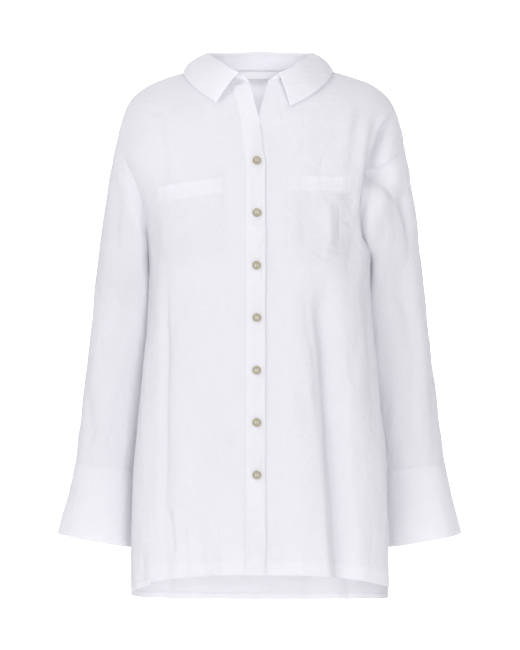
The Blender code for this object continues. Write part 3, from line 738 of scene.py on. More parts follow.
def side_edge(side, hem, band, back=False):
    """The pairs up the side seam and the armhole."""
    armpit = plain_torso(math.pi / 2, ARMPIT)[2]
    turned = 2 * math.pi if back and side < 0 else 0.0
    low = hem(side * seam_angle(side, FRONT_HEM) + turned)
    heights = low + (armpit - low) * rise_shares(low, armpit, band)
    angles = seam_angle(side, heights)
    seam = stack(side * angles + turned, place_at(angles, heights))
    steps = np.arange(1, ARM_ROWS + 1) / ARM_ROWS
    angle, place = armhole(side, math.pi * (1 + steps if back else 1 - steps))
    return np.concatenate((seam, stack(angle + turned, place)))


def shoulder_edge(side, columns):
    """The pairs along the shoulder seam from the neck out."""
    return stack(side * math.pi / 2, np.linspace(NECK, SHOULDER_TIP, columns + 1))


def front_centre_edge(side):
    """The pairs up a front's centre edge and round its neckline."""
    armpit = plain_torso(0.0, ARMPIT)[2]
    neck = plain_torso(0.0, NECK)[2]
    low = FRONT_HEM + (armpit - FRONT_HEM) * rise_shares(FRONT_HEM, armpit, FRONT_HEM_BAND)
    heights = np.concatenate((low, np.linspace(armpit, neck, ARM_ROWS - NECK_ROWS + 1)[1:-1]))
    edge = stack(*spot(edge_x(side, heights), heights))
    neckline = stack(np.linspace(neck_end(side), side * math.pi / 2, NECK_ROWS + 1), NECK)
    return np.concatenate((edge, neckline))


# A finished grid of cloth: its points, the direction out, how far each point lies from the four edges
# of the grid along the cloth, whether it closes round a tube and whether out is the other way
Grid = namedtuple("Grid", "points out low high first last closed turned")


def grid_of(points, closed=False, turned=False):
    """Measures a grid of points with rows from its low edge to its high edge."""
    if closed:
        around = np.roll(points, -1, axis=1) - np.roll(points, 1, axis=1)
    else:
        around = np.gradient(points, axis=1)
    out = unit(np.cross(around, np.gradient(points, axis=0))) * (-1 if turned else 1)
    rows = np.linalg.norm(np.diff(points, axis=0), axis=-1)
    low = np.concatenate((np.zeros((1, points.shape[1])), np.cumsum(rows, axis=0)))
    columns = np.linalg.norm(np.diff(points, axis=1), axis=-1)
    first = np.concatenate((np.zeros((len(points), 1)), np.cumsum(columns, axis=1)), axis=1)
    return Grid(points, out, low, low[-1:] - low, first, first[:, -1:] - first, closed, turned)


def nearest(grid, *edges):
    """How far each point lies from the nearest of some edges."""
    return np.minimum.reduce([getattr(grid, edge) for edge in edges])


def moved(grid, depth):
    """The grid's points moved out, with the same distances and directions."""
    return grid._replace(points=grid.points + grid.out * depth[..., None])


def bent(grid, depth):
    """The grid's points moved out, with the same distances and new directions out."""
    grid = moved(grid, depth)
    return grid._replace(out=grid_of(grid.points, grid.closed, grid.turned).out)


def cropped(grid, first, last=None):
    """Some rows of a grid."""
    return Grid(*(part[first:last] for part in grid[:6]), grid.closed, grid.turned)


def both_faces(grid):
    """The grid, and the grid with its inside out."""
    return grid, grid._replace(out=-grid.out)


def stitch_pull(distance, at):
    """The dent along a line of stitching."""
    return -STITCH_PULL * bump((distance - at) / STITCH_WIDTH)


def pucker(grid, distance, at, ripple, reach, seed, strength=0.6):
    """The small waves that a stitched line draws into the cloth beside it."""
    return strength * unevenness(grid.points, ripple, seed) * bump((distance - at) / reach)


def quads(table):
    """The corners of each cell of a grid's table, from its first low corner round."""
    corners = (table[:-1, :-1], table[:-1, 1:], table[1:, 1:], table[1:, :-1])
    return np.stack(corners, axis=2).reshape(-1, 4, *table.shape[2:])


def shell(name, grid, thick, material, doubled=0.0):
    """A thin wall of cloth: an outer and an inner skin over a grid, joined round the open edges."""
    size = grid.points.shape[:2]
    half = grid.out * (np.broadcast_to(thick, size) / 2)[..., None]
    points = np.concatenate((grid.points + half, grid.points - half)).reshape(-1, 3) * MM
    count = size[0] * size[1]
    index = np.arange(count).reshape(size)
    flat = np.stack((grid.first, grid.low), axis=-1)
    rims = rim_loops(index, grid.closed)
    rim_places = flat.reshape(-1, 2)
    if grid.closed:
        index = np.concatenate((index, index[:, :1]), axis=1)
        seam = flat[:, :1].copy()
        seam[:, 0, 0] = grid.first[:, -1] + grid.first[:, 1]
        flat = np.concatenate((flat, seam), axis=1)
    faces = [quads(index), quads(index)[:, ::-1] + count]
    places = [quads(flat), quads(flat)[:, ::-1]]
    for a in rims:
        b = np.roll(a, -1)
        faces.append(np.stack((b, a, a + count, b + count), axis=1))
        places.append(rim_places[np.stack((b, a, a, b), axis=1)])
    faces = np.concatenate(faces)
    places = np.concatenate(places) * MM
    if volume_inside(points, faces) < 0:
        faces, places = faces[:, ::-1], places[:, ::-1]
    mesh = bpy.data.meshes.new(name)
    mesh.from_pydata(points, [], faces)
    layer = mesh.uv_layers.new(name="cloth")
    layer.data.foreach_set("uv", places.astype(np.float32).ravel())
    attribute = mesh.attributes.new("doubled", "FLOAT", "POINT")
    weight = np.tile(np.broadcast_to(doubled, size).ravel(), 2)
    attribute.data.foreach_set("value", weight.astype(np.float32))
    return add_piece(name, mesh, material)


def rim_loops(index, closed):
    """The open edges of a grid, each as a loop of its points."""
    if closed:
        return [index[0], index[-1, ::-1]]
    return [np.concatenate((index[0, :-1], index[:-1, -1], index[-1, :0:-1], index[:0:-1, 0]))]


def volume_inside(points, faces):
    """The volume inside four-cornered faces, negative where they are turned inside out."""
    a, b, c, d = (points[faces[:, corner]] for corner in range(4))
    return (a * (np.cross(b, c) + np.cross(c, d))).sum() / 6


def linked(name, data):
    """A new object in the scene."""
    made = bpy.data.objects.new(name, data)
    bpy.context.scene.collection.objects.link(made)
    return made


def add_piece(name, mesh, material):
    """A piece of the shirt, smooth but for its sharp edges, that rides on the one body."""
    mesh.materials.append(material)
    mesh.shade_smooth()
    mesh.set_sharp_from_angle(angle=math.radians(SHARP_TURN))
    piece = linked(name, mesh)
    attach(piece, "root")
    return piece


def line_at(grid, edge, at, thick):
    """The points and directions of a line on the grid's outer skin, at a distance from an edge."""
    table = np.concatenate((grid.points + grid.out * (thick / 2), grid.out), axis=-1)
    distance = getattr(grid, edge)
    if edge in ("first", "last"):
        table, distance = np.swapaxes(table, 0, 1), distance.T
    line = []
    for rows, known in zip(np.swapaxes(table, 0, 1), distance.T):
        order = np.argsort(known)
        line.append([np.interp(at, known[order], column) for column in rows[order].T])
    return np.array(line)


def side_lines(grid, at, thick):
    """The lines at a distance from the first and the last column."""
    return [line_at(grid, side, at, thick) for side in ("first", "last")]


def stitches(name, lines, bars=()):
    """Thread along lines of stitching and across in bars, as one mesh of spindles."""
    sizes = bpy.context.scene.shirt_sizes
    pitch = sizes.stitch_length / MM
    radius = sizes.thread_width / MM / 2
    points = []
    faces = []
    for line in lines:
        steps = np.linalg.norm(np.diff(line[:, :3], axis=0), axis=-1)
        along = np.concatenate(((0.0,), np.cumsum(steps)))
        for start in np.arange(0.4 * pitch, along[-1] - pitch, pitch):
            ends = (start, start + STITCH_SHARE * pitch)
            add_stitch(points, faces, np.array([np.interp(ends, along, k) for k in line.T]).T, radius)
    for bar in bars:
        add_stitch(points, faces, bar, radius)
    mesh = bpy.data.meshes.new(name)
    mesh.from_pydata(np.array(points) * MM, [], faces)
    return add_piece(name, mesh, material_of("sewing_thread"))


def add_stitch(points, faces, ends, radius):
    """One stitch between two ends: four rings of four points, sunk into the cloth at both ends."""
    first = len(points)
    way = unit(ends[1][:3] - ends[0][:3])
    for share, width, height in SPINDLE:
        place = ends[0] * (1 - share) + ends[1] * share
        out = unit(place[3:])
        side = np.cross(way, out)
        centre = place[:3] + out * height * radius
        for step in range(4):
            turn = math.pi / 4 + step * math.pi / 2
            points.append(centre + (side * math.cos(turn) + out * math.sin(turn)) * radius * width)
    for ring, step in product(range(3), range(4)):
        a = first + ring * 4 + step
        b = first + ring * 4 + (step + 1) % 4
        faces.append((a + 4, b + 4, b, a))
    faces.append((first, first + 1, first + 2, first + 3))
    faces.append((first + 15, first + 14, first + 13, first + 12))


def sew(node, grid, thick, lines=(), bars=(), doubled=0.0):
    """A piece of linen with its stitching."""
    piece = shell(f"{node}_cloth", grid, thick, material_of("plain_weave_linen"), doubled)
    finish_sheet(node, lines, bars)


def finish_sheet(node, lines, bars=()):
    """Stitches a sheet and hides the solid that it stands for."""
    threads = [stitches(f"{node}_stitching", lines, bars)] if lines else []
    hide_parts(node)


# How much of the linen's shader lets light through
THROUGH_SHARE = 0.5

# Details of the materials in cycles a metre: a slub's length, a thick yarn across and along, clouds
# and crumple in the cloth, twist of the thread, floats of the ribbon, clouds in horn and floor
SLUB = 28.0
YARN_ACROSS, YARN_ALONG = 170.0, 11.0
CLOTH_CLOUDS = 22.0
CRUMPLE = 90.0
TWIST = 2500.0
FLOATS = (300.0, 2500.0, 1.0)
HORN_CLOUDS = 420.0
FLOOR_CLOUDS = 3.0

# Width of a rib of the ribbon and half the width of a button, in metres
RIB_WIDTH = 0.0004
BUTTON_HALF = 0.0064


def feed(tree, socket, value):
    """Links an input to a socket, or gives it a value of its own."""
    if isinstance(value, bpy.types.NodeSocket):
        tree.links.new(value, socket)
    else:
        socket.default_value = value


def node_in(tree, kind, inputs=None, **settings):
    """A new shader node with its own settings and its inputs fed."""
    made = tree.nodes.new(kind)
    for name, value in settings.items():
        setattr(made, name, value)
    for name, value in (inputs or {}).items():
        feed(tree, made.inputs[name], value)
    return made


def calculate(tree, operation, *values):
    """The result of a Math node on sockets or numbers."""
    return node_in(tree, "ShaderNodeMath", dict(enumerate(values)), operation=operation).outputs[0]


def times(tree, first, second):
    """The product of two sockets or numbers."""
    return calculate(tree, "MULTIPLY", first, second)


def plus(tree, first, second):
    """The sum of two sockets or numbers."""
    return calculate(tree, "ADD", first, second)


def noise(tree, vector, scale, detail, stretch=(1, 1, 1)):
    """A noise texture on stretched coordinates."""
    mapping = node_in(tree, "ShaderNodeMapping", {"Scale": stretch, "Vector": vector})
    inputs = {"Scale": scale, "Detail": detail, "Vector": mapping.outputs["Vector"]}
    return node_in(tree, "ShaderNodeTexNoise", inputs).outputs["Fac"]


def yarn_noise(tree, cloth, across, along):
    """The sum of two noises drawn out along the upright and the level threads."""
    upright = noise(tree, cloth, 1.0, 2.0, (across, along, 1.0))
    return plus(tree, upright, noise(tree, cloth, 1.0, 2.0, (along, across, 1.0)))


def mix_colours(tree, share, first, second):
    """A mix of two colours, each a socket or a value."""
    inputs = {"Factor": share, 6: first, 7: second}
    return node_in(tree, "ShaderNodeMix", inputs, data_type="RGBA").outputs[2]


def bumped(tree, height, distance, strength, **below):
    """The normal of a Bump node, which may lie on another."""
    inputs = {"Height": height, "Distance": distance, "Strength": strength, **below}
    return node_in(tree, "ShaderNodeBump", inputs).outputs["Normal"]


def shade(colour, amount):
    """A colour made lighter or darker."""
    return [min(channel * amount, 1.0) for channel in colour] + [1.0]


def shades(tree, share, colour, first, second):
    """A mix of two shades of one colour."""
    return mix_colours(tree, share, shade(colour, first), shade(colour, second))


def cloth_places(tree):
    """Places along the cloth, in metres, and their two coordinates."""
    cloth = node_in(tree, "ShaderNodeUVMap", uv_map="cloth").outputs["UV"]
    return cloth, node_in(tree, "ShaderNodeSeparateXYZ", {0: cloth}).outputs


def object_places(tree):
    """Places in a piece's own frame."""
    return node_in(tree, "ShaderNodeTexCoord").outputs["Object"]


def let_through(tree, colour, normal):
    """Lets part of the light through the thin cloth."""
    inputs = {"Color": shade(colour, 1.25), "Normal": normal}
    through = node_in(tree, "ShaderNodeBsdfTranslucent", inputs)
    front = tree.nodes["Principled BSDF"].outputs["BSDF"]
    inputs = {"Fac": THROUGH_SHARE, 1: front, 2: through.outputs["BSDF"]}
    mixed = node_in(tree, "ShaderNodeMixShader", inputs)
    feed(tree, tree.nodes["Material Output"].inputs["Surface"], mixed.outputs["Shader"])


def linen(tree, scene):
    """Plain-weave linen: threads over and under, slubs, soft crumple and a faint sheen."""
    colour, pitch = scene.shirt_colours.linen, scene.shirt_sizes.thread_pitch
    cloth, along = cloth_places(tree)
    warp, weft = (calculate(tree, "SINE", times(tree, along[axis], math.pi / pitch)) for axis in (0, 1))
    weave = calculate(tree, "ABSOLUTE", times(tree, warp, weft))
    slubs = times(tree, yarn_noise(tree, cloth, 0.8 / pitch, SLUB), 0.5)
    yarns = yarn_noise(tree, cloth, YARN_ACROSS, YARN_ALONG)
    cloud = times(tree, plus(tree, yarns, noise(tree, cloth, CLOTH_CLOUDS, detail=2.0)), 1 / 3)
    threads = plus(tree, times(tree, weave, 0.5), slubs)
    soft = bumped(tree, noise(tree, cloth, CRUMPLE, detail=3.0), distance=0.0016, strength=0.8)
    normal = bumped(tree, threads, distance=0.0002, strength=0.6, Normal=soft)
    doubled = node_in(tree, "ShaderNodeAttribute", attribute_name="doubled").outputs["Fac"]
    single = shades(tree, slubs, colour, 0.93, 1.03)
    clouded = mix_colours(tree, cloud, single, shade(colour, 0.92))
    let_through(tree, colour, normal)
    return {
        "Base Color": mix_colours(tree, doubled, clouded, shade(colour, 1.10)),
        "Roughness": 0.88,
        "Specular IOR Level": 0.2,
        "Sheen Weight": 0.12,
        "Sheen Roughness": 0.6,
        "Normal": normal,
    }


def thread_cotton(tree, scene):
    """Twisted sewing thread."""
    twist = noise(tree, object_places(tree), TWIST, detail=1.0)
    return {
        "Base Color": shades(tree, twist, scene.shirt_colours.thread, 0.94, 1.02),
        "Roughness": 0.6,
        "Specular IOR Level": 0.35,
        "Normal": bumped(tree, twist, distance=0.0001, strength=0.5),
    }


def satin(tree, scene):
    """Bare woven ribbon with fine ribs along its length."""
    cloth, along = cloth_places(tree)
    ribs = calculate(tree, "SINE", times(tree, along[1], 2 * math.pi / RIB_WIDTH))
    floats = noise(tree, cloth, 1.0, detail=1.0, stretch=FLOATS)
    return {
        "Base Color": shades(tree, floats, scene.shirt_colours.label, 0.96, 1.0),
        "Roughness": 0.42,
        "Specular IOR Level": 0.4,
        "Sheen Weight": 0.1,
        "Normal": bumped(tree, plus(tree, ribs, floats), distance=0.00004, strength=0.6),
    }


def horn(tree, scene):
    """Button horn: clouded tan with a darker rim and a paler middle."""
    place = object_places(tree)
    length = node_in(tree, "ShaderNodeVectorMath", {0: place}, operation="LENGTH").outputs["Value"]
    clouds = noise(tree, place, HORN_CLOUDS, detail=4.0, stretch=(1.0, 0.35, 1.0))
    uneven = plus(tree, calculate(tree, "DIVIDE", length, BUTTON_HALF), times(tree, clouds, 0.7))
    rim = calculate(tree, "SMOOTH_MIN", calculate(tree, "POWER", times(tree, uneven, 0.68), 3.0), 1.0)
    colours = scene.shirt_colours
    pale = shades(tree, clouds, colours.button, 1.22, 0.92)
    return {
        "Base Color": mix_colours(tree, rim, pale, shade(colours.button_rim, 1.0)),
        "Roughness": 0.34,
        "Specular IOR Level": 0.5,
        "Coat Weight": 0.15,
        "Coat Roughness": 0.25,
        "Normal": bumped(tree, clouds, distance=0.00015, strength=0.25),
    }


def floor_paint(tree, scene):
    """Pale matt floor with the slightest mottling."""
    mottle = noise(tree, object_places(tree), FLOOR_CLOUDS, detail=2.0)
    return {
        "Base Color": shades(tree, mottle, scene.shirt_studio.floor_colour, 0.995, 1.0),
        "Roughness": 0.9,
        "Specular IOR Level": 0.1,
    }


MATERIALS = {
    "plain_weave_linen": linen,
    "sewing_thread": thread_cotton,
    "label_satin": satin,
    "button_horn": horn,
    "pale_floor": floor_paint,
}


def material_of(name):
    """A material, made when it is first asked for."""
    if name in bpy.data.materials:
        return bpy.data.materials[name]
    material = bpy.data.materials.new(name)
    material.use_nodes = True
    tree = material.node_tree
    inputs = MATERIALS[name](tree, bpy.context.scene)
    for socket, value in inputs.items():
        feed(tree, tree.nodes["Principled BSDF"].inputs[socket], value)
    return material


def layer_thickness():
    """Thickness of one layer of linen."""
    return bpy.context.scene.shirt_sizes.cloth / MM


def seam_step(distance, height):
    """The raised or lowered band beside a seam."""
    return height * smooth((SEAM_BAND - distance) / 1.6 + 0.5)


def hem_band(distance, width):
    """1 on a hem's doubled band and 0 above it."""
    return smooth((width - distance) / 1.4 + 0.5)


def lap_depth(points, side):
    """How far a front's centre lies out over the other front, or in under it."""
    lift = OVER_LIFT if side < 0 else UNDER_LIFT
    near = 1 - smooth((np.abs(points[..., 0]) / LAP_REACH - 1) / 2)
    return lift * near * smooth((LAP_TOP - points[..., 2]) / LAP_FADE) * (points[..., 1] < 0)


def panel_grid(left, right, top, hem, turned=False):
    """A panel of the body between its two side edges, its top edge and its hem."""
    angles = np.linspace(left[0, 0], right[0, 0], len(top))
    pairs = fill(left, right, stack(angles, place_at(angles, hem(angles))), top)
    return grid_of(torso(pairs[..., 0], pairs[..., 1]), turned=turned)


def sew_panel(node, grid, band, seams, low_step, hem_faces, seed):
    """Gives a panel its turned hem, its stepped seam edges and its stitching."""
    cloth = layer_thickness()
    hem = hem_band(grid.low, band)
    armhole_rows = np.arange(len(grid.points))[:, None] >= HEM_ROWS + LOW_ROWS
    depth = stitch_pull(grid.low, band - HEM_STITCH) - HEM_SINK * cloth * hem
    depth += pucker(grid, grid.low, at=band, ripple=HEM_RIPPLE, reach=16, seed=seed)
    for seam in seams:
        distance = getattr(grid, seam)
        depth += seam_step(distance, np.where(armhole_rows, SEAM_STEP, low_step))
        depth += stitch_pull(distance, SEAM_STITCH) * armhole_rows
        depth += pucker(grid, distance, 3, SEAM_RIPPLE, reach=12, seed=seed + 1, strength=0.42)
    grid = bent(grid, depth)
    faces = both_faces(grid)[:hem_faces]
    lines = [line_at(face, "low", band - HEM_STITCH, cloth * HEM_LAYERS) for face in faces]
    upper = cropped(grid, HEM_ROWS + LOW_ROWS + 2)
    lines += [line_at(upper, seam, SEAM_STITCH, cloth) for seam in seams]
    thick = cloth * (1 + (HEM_LAYERS - 1) * hem)
    sew(node, grid, thick, lines, doubled=HEM_WHITER * hem)


def make_front(side):
    """A front, with rows from the hem up and columns from the centre to the side."""
    left = front_centre_edge(side)
    right = side_edge(side, front_hem, FRONT_HEM_BAND)
    grid = panel_grid(left, right, shoulder_edge(side, FRONT_COLUMNS), front_hem, turned=side < 0)
    grid = moved(grid, lap_depth(grid.points, side))
    node = f"front_{SIDE_WORDS[side]}"
    sew_panel(node, grid, FRONT_HEM_BAND, ("last",), SEAM_STEP, hem_faces=1, seed=21)


def make_back():
    """The back in one piece, with columns from the wearer's left side to the right."""
    left, right = (side_edge(side, back_hem, BACK_HEM_BAND, back=True) for side in (1, -1))
    shoulder = (BACK_COLUMNS - NECK_COLUMNS) // 2
    neck = np.linspace(math.pi / 2, 3 * math.pi / 2, NECK_COLUMNS + 1)[1:-1]
    right_shoulder = shoulder_edge(-1, shoulder) + np.array((2 * math.pi, 0.0))
    top = np.concatenate((shoulder_edge(1, shoulder)[::-1], stack(neck, NECK), right_shoulder))
    grid = panel_grid(left, right, top, back_hem)
    seams = ("first", "last")
    sew_panel("back", grid, BACK_HEM_BAND, seams, -SEAM_STEP / 2, hem_faces=2, seed=31)


def tube_grid(form, side, last, rows):
    """A sleeve or a cuff, with rows down from its upper end and columns round from its outer line."""
    around = np.arange(AROUND) * 2 * math.pi / AROUND
    place = np.linspace(0, last, rows + 1)
    points = form(side, around[None, :], place[:, None])
    return grid_of(points, closed=True, turned=side < 0)


def make_sleeve(side):
    """A sleeve and its cuff, with their seams and stitching."""
    word = SIDE_WORDS[side]
    cloth = layer_thickness()
    grid = tube_grid(sleeve, side, len(SLEEVE) - 1, SLEEVE_ROWS)
    depth = pucker(grid, grid.low, at=2, ripple=EVEN_RIPPLE, reach=12, seed=41)
    depth += pucker(grid, grid.high, at=2, ripple=HEM_RIPPLE, reach=16, seed=42)
    depth -= SEAM_STEP * (bump(grid.low / 4) + bump(grid.high / 4))
    sew(f"sleeve_{word}", bent(grid, depth), cloth)
    grid = tube_grid(cuff, side, len(CUFF) - 1, CUFF_ROWS)
    depth = SEAM_STEP * smooth((20 - grid.low) / 20)
    depth += stitch_pull(grid.low, CUFF_STITCH) + stitch_pull(grid.high, CUFF_BAND)
    depth += pucker(grid, grid.low, CUFF_STITCH, HEM_RIPPLE, reach=10, seed=43, strength=0.36)
    depth += pucker(grid, grid.high, CUFF_BAND, HEM_RIPPLE, reach=12, seed=44, strength=0.36)
    grid = bent(grid, depth)
    lines = []
    for at in (CUFF_STITCH, grid.low[-1].mean() - CUFF_BAND):
        line = line_at(grid, "low", at, cloth * HEM_LAYERS)
        lines.append(np.concatenate((line, line[:1])))
    thick = cloth * (HEM_LAYERS - 0.6 * bump(grid.high / 1.2))
    sew(f"cuff_{word}", grid, thick, lines, doubled=0.15)


def neck_angles():
    """Angles round the neck from the right front's end over the back to the left front's end."""
    right = np.linspace(neck_end(-1), -math.pi / 2, COLLAR_FRONT_COLUMNS + 1)
    back = np.linspace(-math.pi / 2, -3 * math.pi / 2, NECK_COLUMNS + 1)
    left = np.linspace(-3 * math.pi / 2, neck_end(1) - 2 * math.pi, COLLAR_FRONT_COLUMNS + 1)
    return np.concatenate((right, back[1:], left[1:]))


def make_collar():
    """The stand on the neckline, and the collar folded down over it."""
    cloth = layer_thickness()
    angles = neck_angles()
    shares = np.linspace(0, 1, STAND_ROWS + 1)
    grid = grid_of(stand(angles[None, :], shares[:, None]), turned=True)
    grid = bent(grid, 0.5 * unevenness(grid.points, *STAND_WAVES))
    thick = cloth * STAND_LAYERS
    lines = [line_at(face, "low", STAND_STITCH, thick) for face in both_faces(grid)]
    sew("collar_stand", grid, thick, lines, doubled=1.0)
    shares = np.linspace(0, 1, COLLAR_ROWS + 1)
    grid = grid_of(collar(angles, shares))
    edge = nearest(grid, "first", "last", "high")
    waves = 0.9 * unevenness(grid.points, *COLLAR_WAVES)
    waves += 0.35 * unevenness(grid.points, *COLLAR_RIPPLES)
    fall = smooth((shares[:, None] - 0.45) / 0.4)
    grid = bent(grid, fall * (waves + stitch_pull(edge, COLLAR_STITCH)))
    lines = [line_at(grid, "high", COLLAR_STITCH, cloth * COLLAR_LAYERS)[4:-4]]
    low = cropped(grid, COLLAR_ROWS // 2 + 4, -4)
    lines += side_lines(low, COLLAR_STITCH, cloth * COLLAR_LAYERS)
    thick = cloth * (COLLAR_LAYERS - 0.7 * bump(edge / 1.3))
    sew("collar_leaf", grid, thick, lines, doubled=0.6)


def laid_on(x, height, lift, back=False):
    """Points lifted out from the body's cloth, or in from the back's."""
    point, out = footing(x, height, back)
    return point + out * np.asarray(-lift if back else lift)[..., None]


def buttonhole_bars(height, lift):
    """Close bars of thread round an upright buttonhole."""
    turn = np.arange(BUTTONHOLE_BARS) * 2 * math.pi / BUTTONHOLE_BARS
    rings = []
    for width in BUTTONHOLE_WIDTHS:
        x = BUTTON_X + width * np.sin(turn)
        point, out = footing(x, height + (BUTTONHOLE_LENGTH / 2 + width) * np.cos(turn))
        rings.append(np.concatenate((point + out * lift, out), axis=-1))
    return np.stack(rings, axis=1)


def make_placket():
    """The button band on the lapping front, sewn down along both edges."""
    cloth = layer_thickness()
    heights = np.linspace(FRONT_HEM, PLACKET_TOP, PLACKET_ROWS + 1)[:, None]
    across = np.linspace(0, 1, PLACKET_COLUMNS + 1)[None, :]
    x = edge_x(-1, heights) + PLACKET_OVERLAP - (PLACKET_WIDTH + PLACKET_OVERLAP) * across
    grid = grid_of(laid_on(x, heights, OVER_LIFT + cloth * PLACKET_LIFT), turned=True)
    sides = nearest(grid, "first", "last")
    depth = stitch_pull(sides, PLACKET_STITCH) + 0.35 * unevenness(grid.points, *PLACKET_WAVES)
    depth += pucker(grid, sides, at=0, ripple=PLACKET_RIPPLE, reach=6, seed=62, strength=0.25)
    for height in BUTTON_HEIGHTS:
        away = np.hypot(grid.points[..., 0] - BUTTON_X, grid.points[..., 2] - height)
        depth -= BUTTON_DENT * bump(away / BUTTON_DENT_WIDTH)
    rounding = bump(sides / EDGE_ROUNDING)
    grid = bent(grid, depth - 0.25 * rounding)
    lines = side_lines(grid, PLACKET_STITCH, cloth * PLACKET_LAYERS)
    lift = OVER_LIFT + cloth * 1.5 - 0.3
    bars = [bar for height in BUTTON_HEIGHTS for bar in buttonhole_bars(height, lift)]
    thick = cloth * (PLACKET_LAYERS - 0.5 * rounding)
    sew("placket", grid, thick, lines, bars, doubled=1.0)


# Creases of the pockets' own cloth
POCKET_CREASES = [Fold(*row) for row in (
    (-103, -196, -105, -268, 2, 1.3, 6),
    (-128, -200, -112, -212, 2, -1.0, 4),
    (-140, -192, -116, -199, 2, -0.9, 3.5),
    (-70, -205, -64, -262, 3, -0.8, 7),
    (98, -186, 101, -262, 1, 1.9, 6),
    (62, -200, 58, -260, 3, -0.8, 8),
    (111, -186, 113, -262, 1, -1.8, 6),
    (84, -262, 122, -266, 2, -1.0, 4),
)]
POCKET_ROWS = 72
POCKET_COLUMNS = 64
POCKET_FOLD = 23.0


def make_pocket(pocket):
    """A patch pocket, sewn round three sides, with a folded top that stands a little open."""
    cloth = layer_thickness()
    up = np.linspace(0, 1, POCKET_ROWS + 1)[:, None]
    across = np.linspace(0, 1, POCKET_COLUMNS + 1)[None, :]
    x = pocket.inner_x + (pocket.outer_x - pocket.inner_x) * across
    top = pocket.inner_top + (pocket.outer_top - pocket.inner_top) * across
    height = pocket.bottom + (top - pocket.bottom) * up
    gape = pocket.gape * np.sin(math.pi * across) * smooth(up)
    mouth = bump((across - MOUTH_AT) / MOUTH_WIDTH) * smooth((up - MOUTH_LOW) / (1 - MOUTH_LOW))
    gape = gape + pocket.mouth * mouth
    grid = grid_of(laid_on(x, height, cloth * POCKET_LIFT + gape), turned=pocket.side == "right")
    points = grid.points
    sewn_edge = nearest(grid, "first", "last", "low")
    fold = hem_band(grid.high, POCKET_FOLD)
    fold_line = POCKET_FOLD - POCKET_FOLD_STITCH
    depth = fold_depth(POCKET_CREASES, slanting_line, CREASE_EASE, points[..., 0], points[..., 2])
    depth += 0.6 * unevenness(points, *POCKET_WAVES) * smooth(sewn_edge / 10)
    depth += stitch_pull(sewn_edge, POCKET_STITCH) + stitch_pull(grid.high, fold_line)
    depth += pucker(grid, sewn_edge, POCKET_STITCH, EVEN_RIPPLE, reach=7, seed=72, strength=0.3)
    grid = bent(grid, depth - 0.3 * bump(sewn_edge / EDGE_ROUNDING))
    lines = [line_at(grid, "low", POCKET_STITCH, cloth)[2:-2]]
    lines += [line[2:-1] for line in side_lines(grid, POCKET_STITCH, cloth)]
    lines.append(line_at(grid, "high", fold_line, cloth * 1.5)[2:-2])
    rounding = bump(np.minimum(sewn_edge, grid.high) / EDGE_ROUNDING)
    thick = cloth * (1 + 0.6 * fold) * (1 - 0.35 * rounding)
    sew(f"pocket_{pocket.side}", grid, thick, lines, doubled=0.3 + 0.35 * fold)


def make_label():
    """The bare label inside the back neck, sewn at both ends."""
    x = np.linspace(LABEL_LEFT, LABEL_RIGHT, LABEL_COLUMNS + 1)[None, :]
    height = np.linspace(LABEL_LOW, LABEL_TOP, LABEL_ROWS + 1)[:, None]
    middle, half = (LABEL_LEFT + LABEL_RIGHT) / 2, (LABEL_RIGHT - LABEL_LEFT) / 2
    hang = np.cos((x - middle) / half * math.pi / 2) * smooth((LABEL_TOP - height) / 10)
    grid = grid_of(laid_on(x, height, LABEL_LIFT + LABEL_SAG * hang, back=True))
    grid = moved(grid, 0.15 * unevenness(grid.points, *LABEL_WAVES))
    piece = shell("neck_label_ribbon", grid, LABEL_THICK, material_of("label_satin"))
    lines = side_lines(grid, LABEL_STITCH, LABEL_THICK)
    finish_sheet("neck_label", lines)


# Half of a button's section, from the middle of its face out and down to the middle of its back
BUTTON_PROFILE = [
    (0.0, 1.25), (2.6, 1.28), (3.5, 1.42), (4.1, 1.85), (4.6, 2.25), (5.1, 2.38), (5.6, 2.28), (6.0, 1.9),
    (6.2, 1.4), (6.15, 0.8), (5.9, 0.35), (5.3, 0.06), (4.6, 0.0), (0.0, 0.0),
]
BUTTON_STEPS = 48
BUTTON_HOLE = 0.8
BUTTON_HOLE_PLACE = 1.35
BUTTON_SEAT = 3.0

# The thread through two holes of a button as (along, up), its half width, and the radius of its shank
# in half widths
THREAD_PATH = ((-1.3, 0.2), (-1.25, 1.35), (-0.8, 1.72), (0.0, 1.8), (0.8, 1.72), (1.25, 1.35), (1.3, 0.2))
THREAD_STRANDS = (-0.24, 0.24)
THREAD_HALF = 0.18
SHANK_PATH = ((0, 0, -1.6), (0, 0, 0.6))
SHANK_RADIUS = 5.0


def button_mesh(material):
    """A turned four-hole button."""
    mesh = bpy.data.meshes.new("button_turning")
    steps = [(i, i + 1) for i in range(len(BUTTON_PROFILE) - 1)]
    mesh.from_pydata([(radius * MM, 0, top * MM) for radius, top in BUTTON_PROFILE], steps, [])
    blank = linked("button_blank", mesh)
    turning = blank.modifiers.new("turning", "SCREW")
    turning.steps = turning.render_steps = BUTTON_STEPS
    turning.use_merge_vertices = True
    turning.merge_threshold = 0.00001
    cutters = []
    for x, y in product((-BUTTON_HOLE_PLACE, BUTTON_HOLE_PLACE), repeat=2):
        bpy.ops.mesh.primitive_cylinder_add(
            vertices=20, radius=BUTTON_HOLE * MM, depth=8 * MM, location=(x * MM, y * MM, 0)
        )
        cutters.append(bpy.context.object)
        cut = blank.modifiers.new("hole", "BOOLEAN")
        cut.operation = "DIFFERENCE"
        cut.object = cutters[-1]
    graph = bpy.context.evaluated_depsgraph_get()
    made = bpy.data.meshes.new_from_object(blank.evaluated_get(graph))
    for used in [blank, *cutters]:
        bpy.data.objects.remove(used)
    made.materials.clear()
    made.materials.append(material)
    made.shade_smooth()
    made.set_sharp_from_angle(angle=math.radians(SHARP_BUTTON_TURN))
    return made


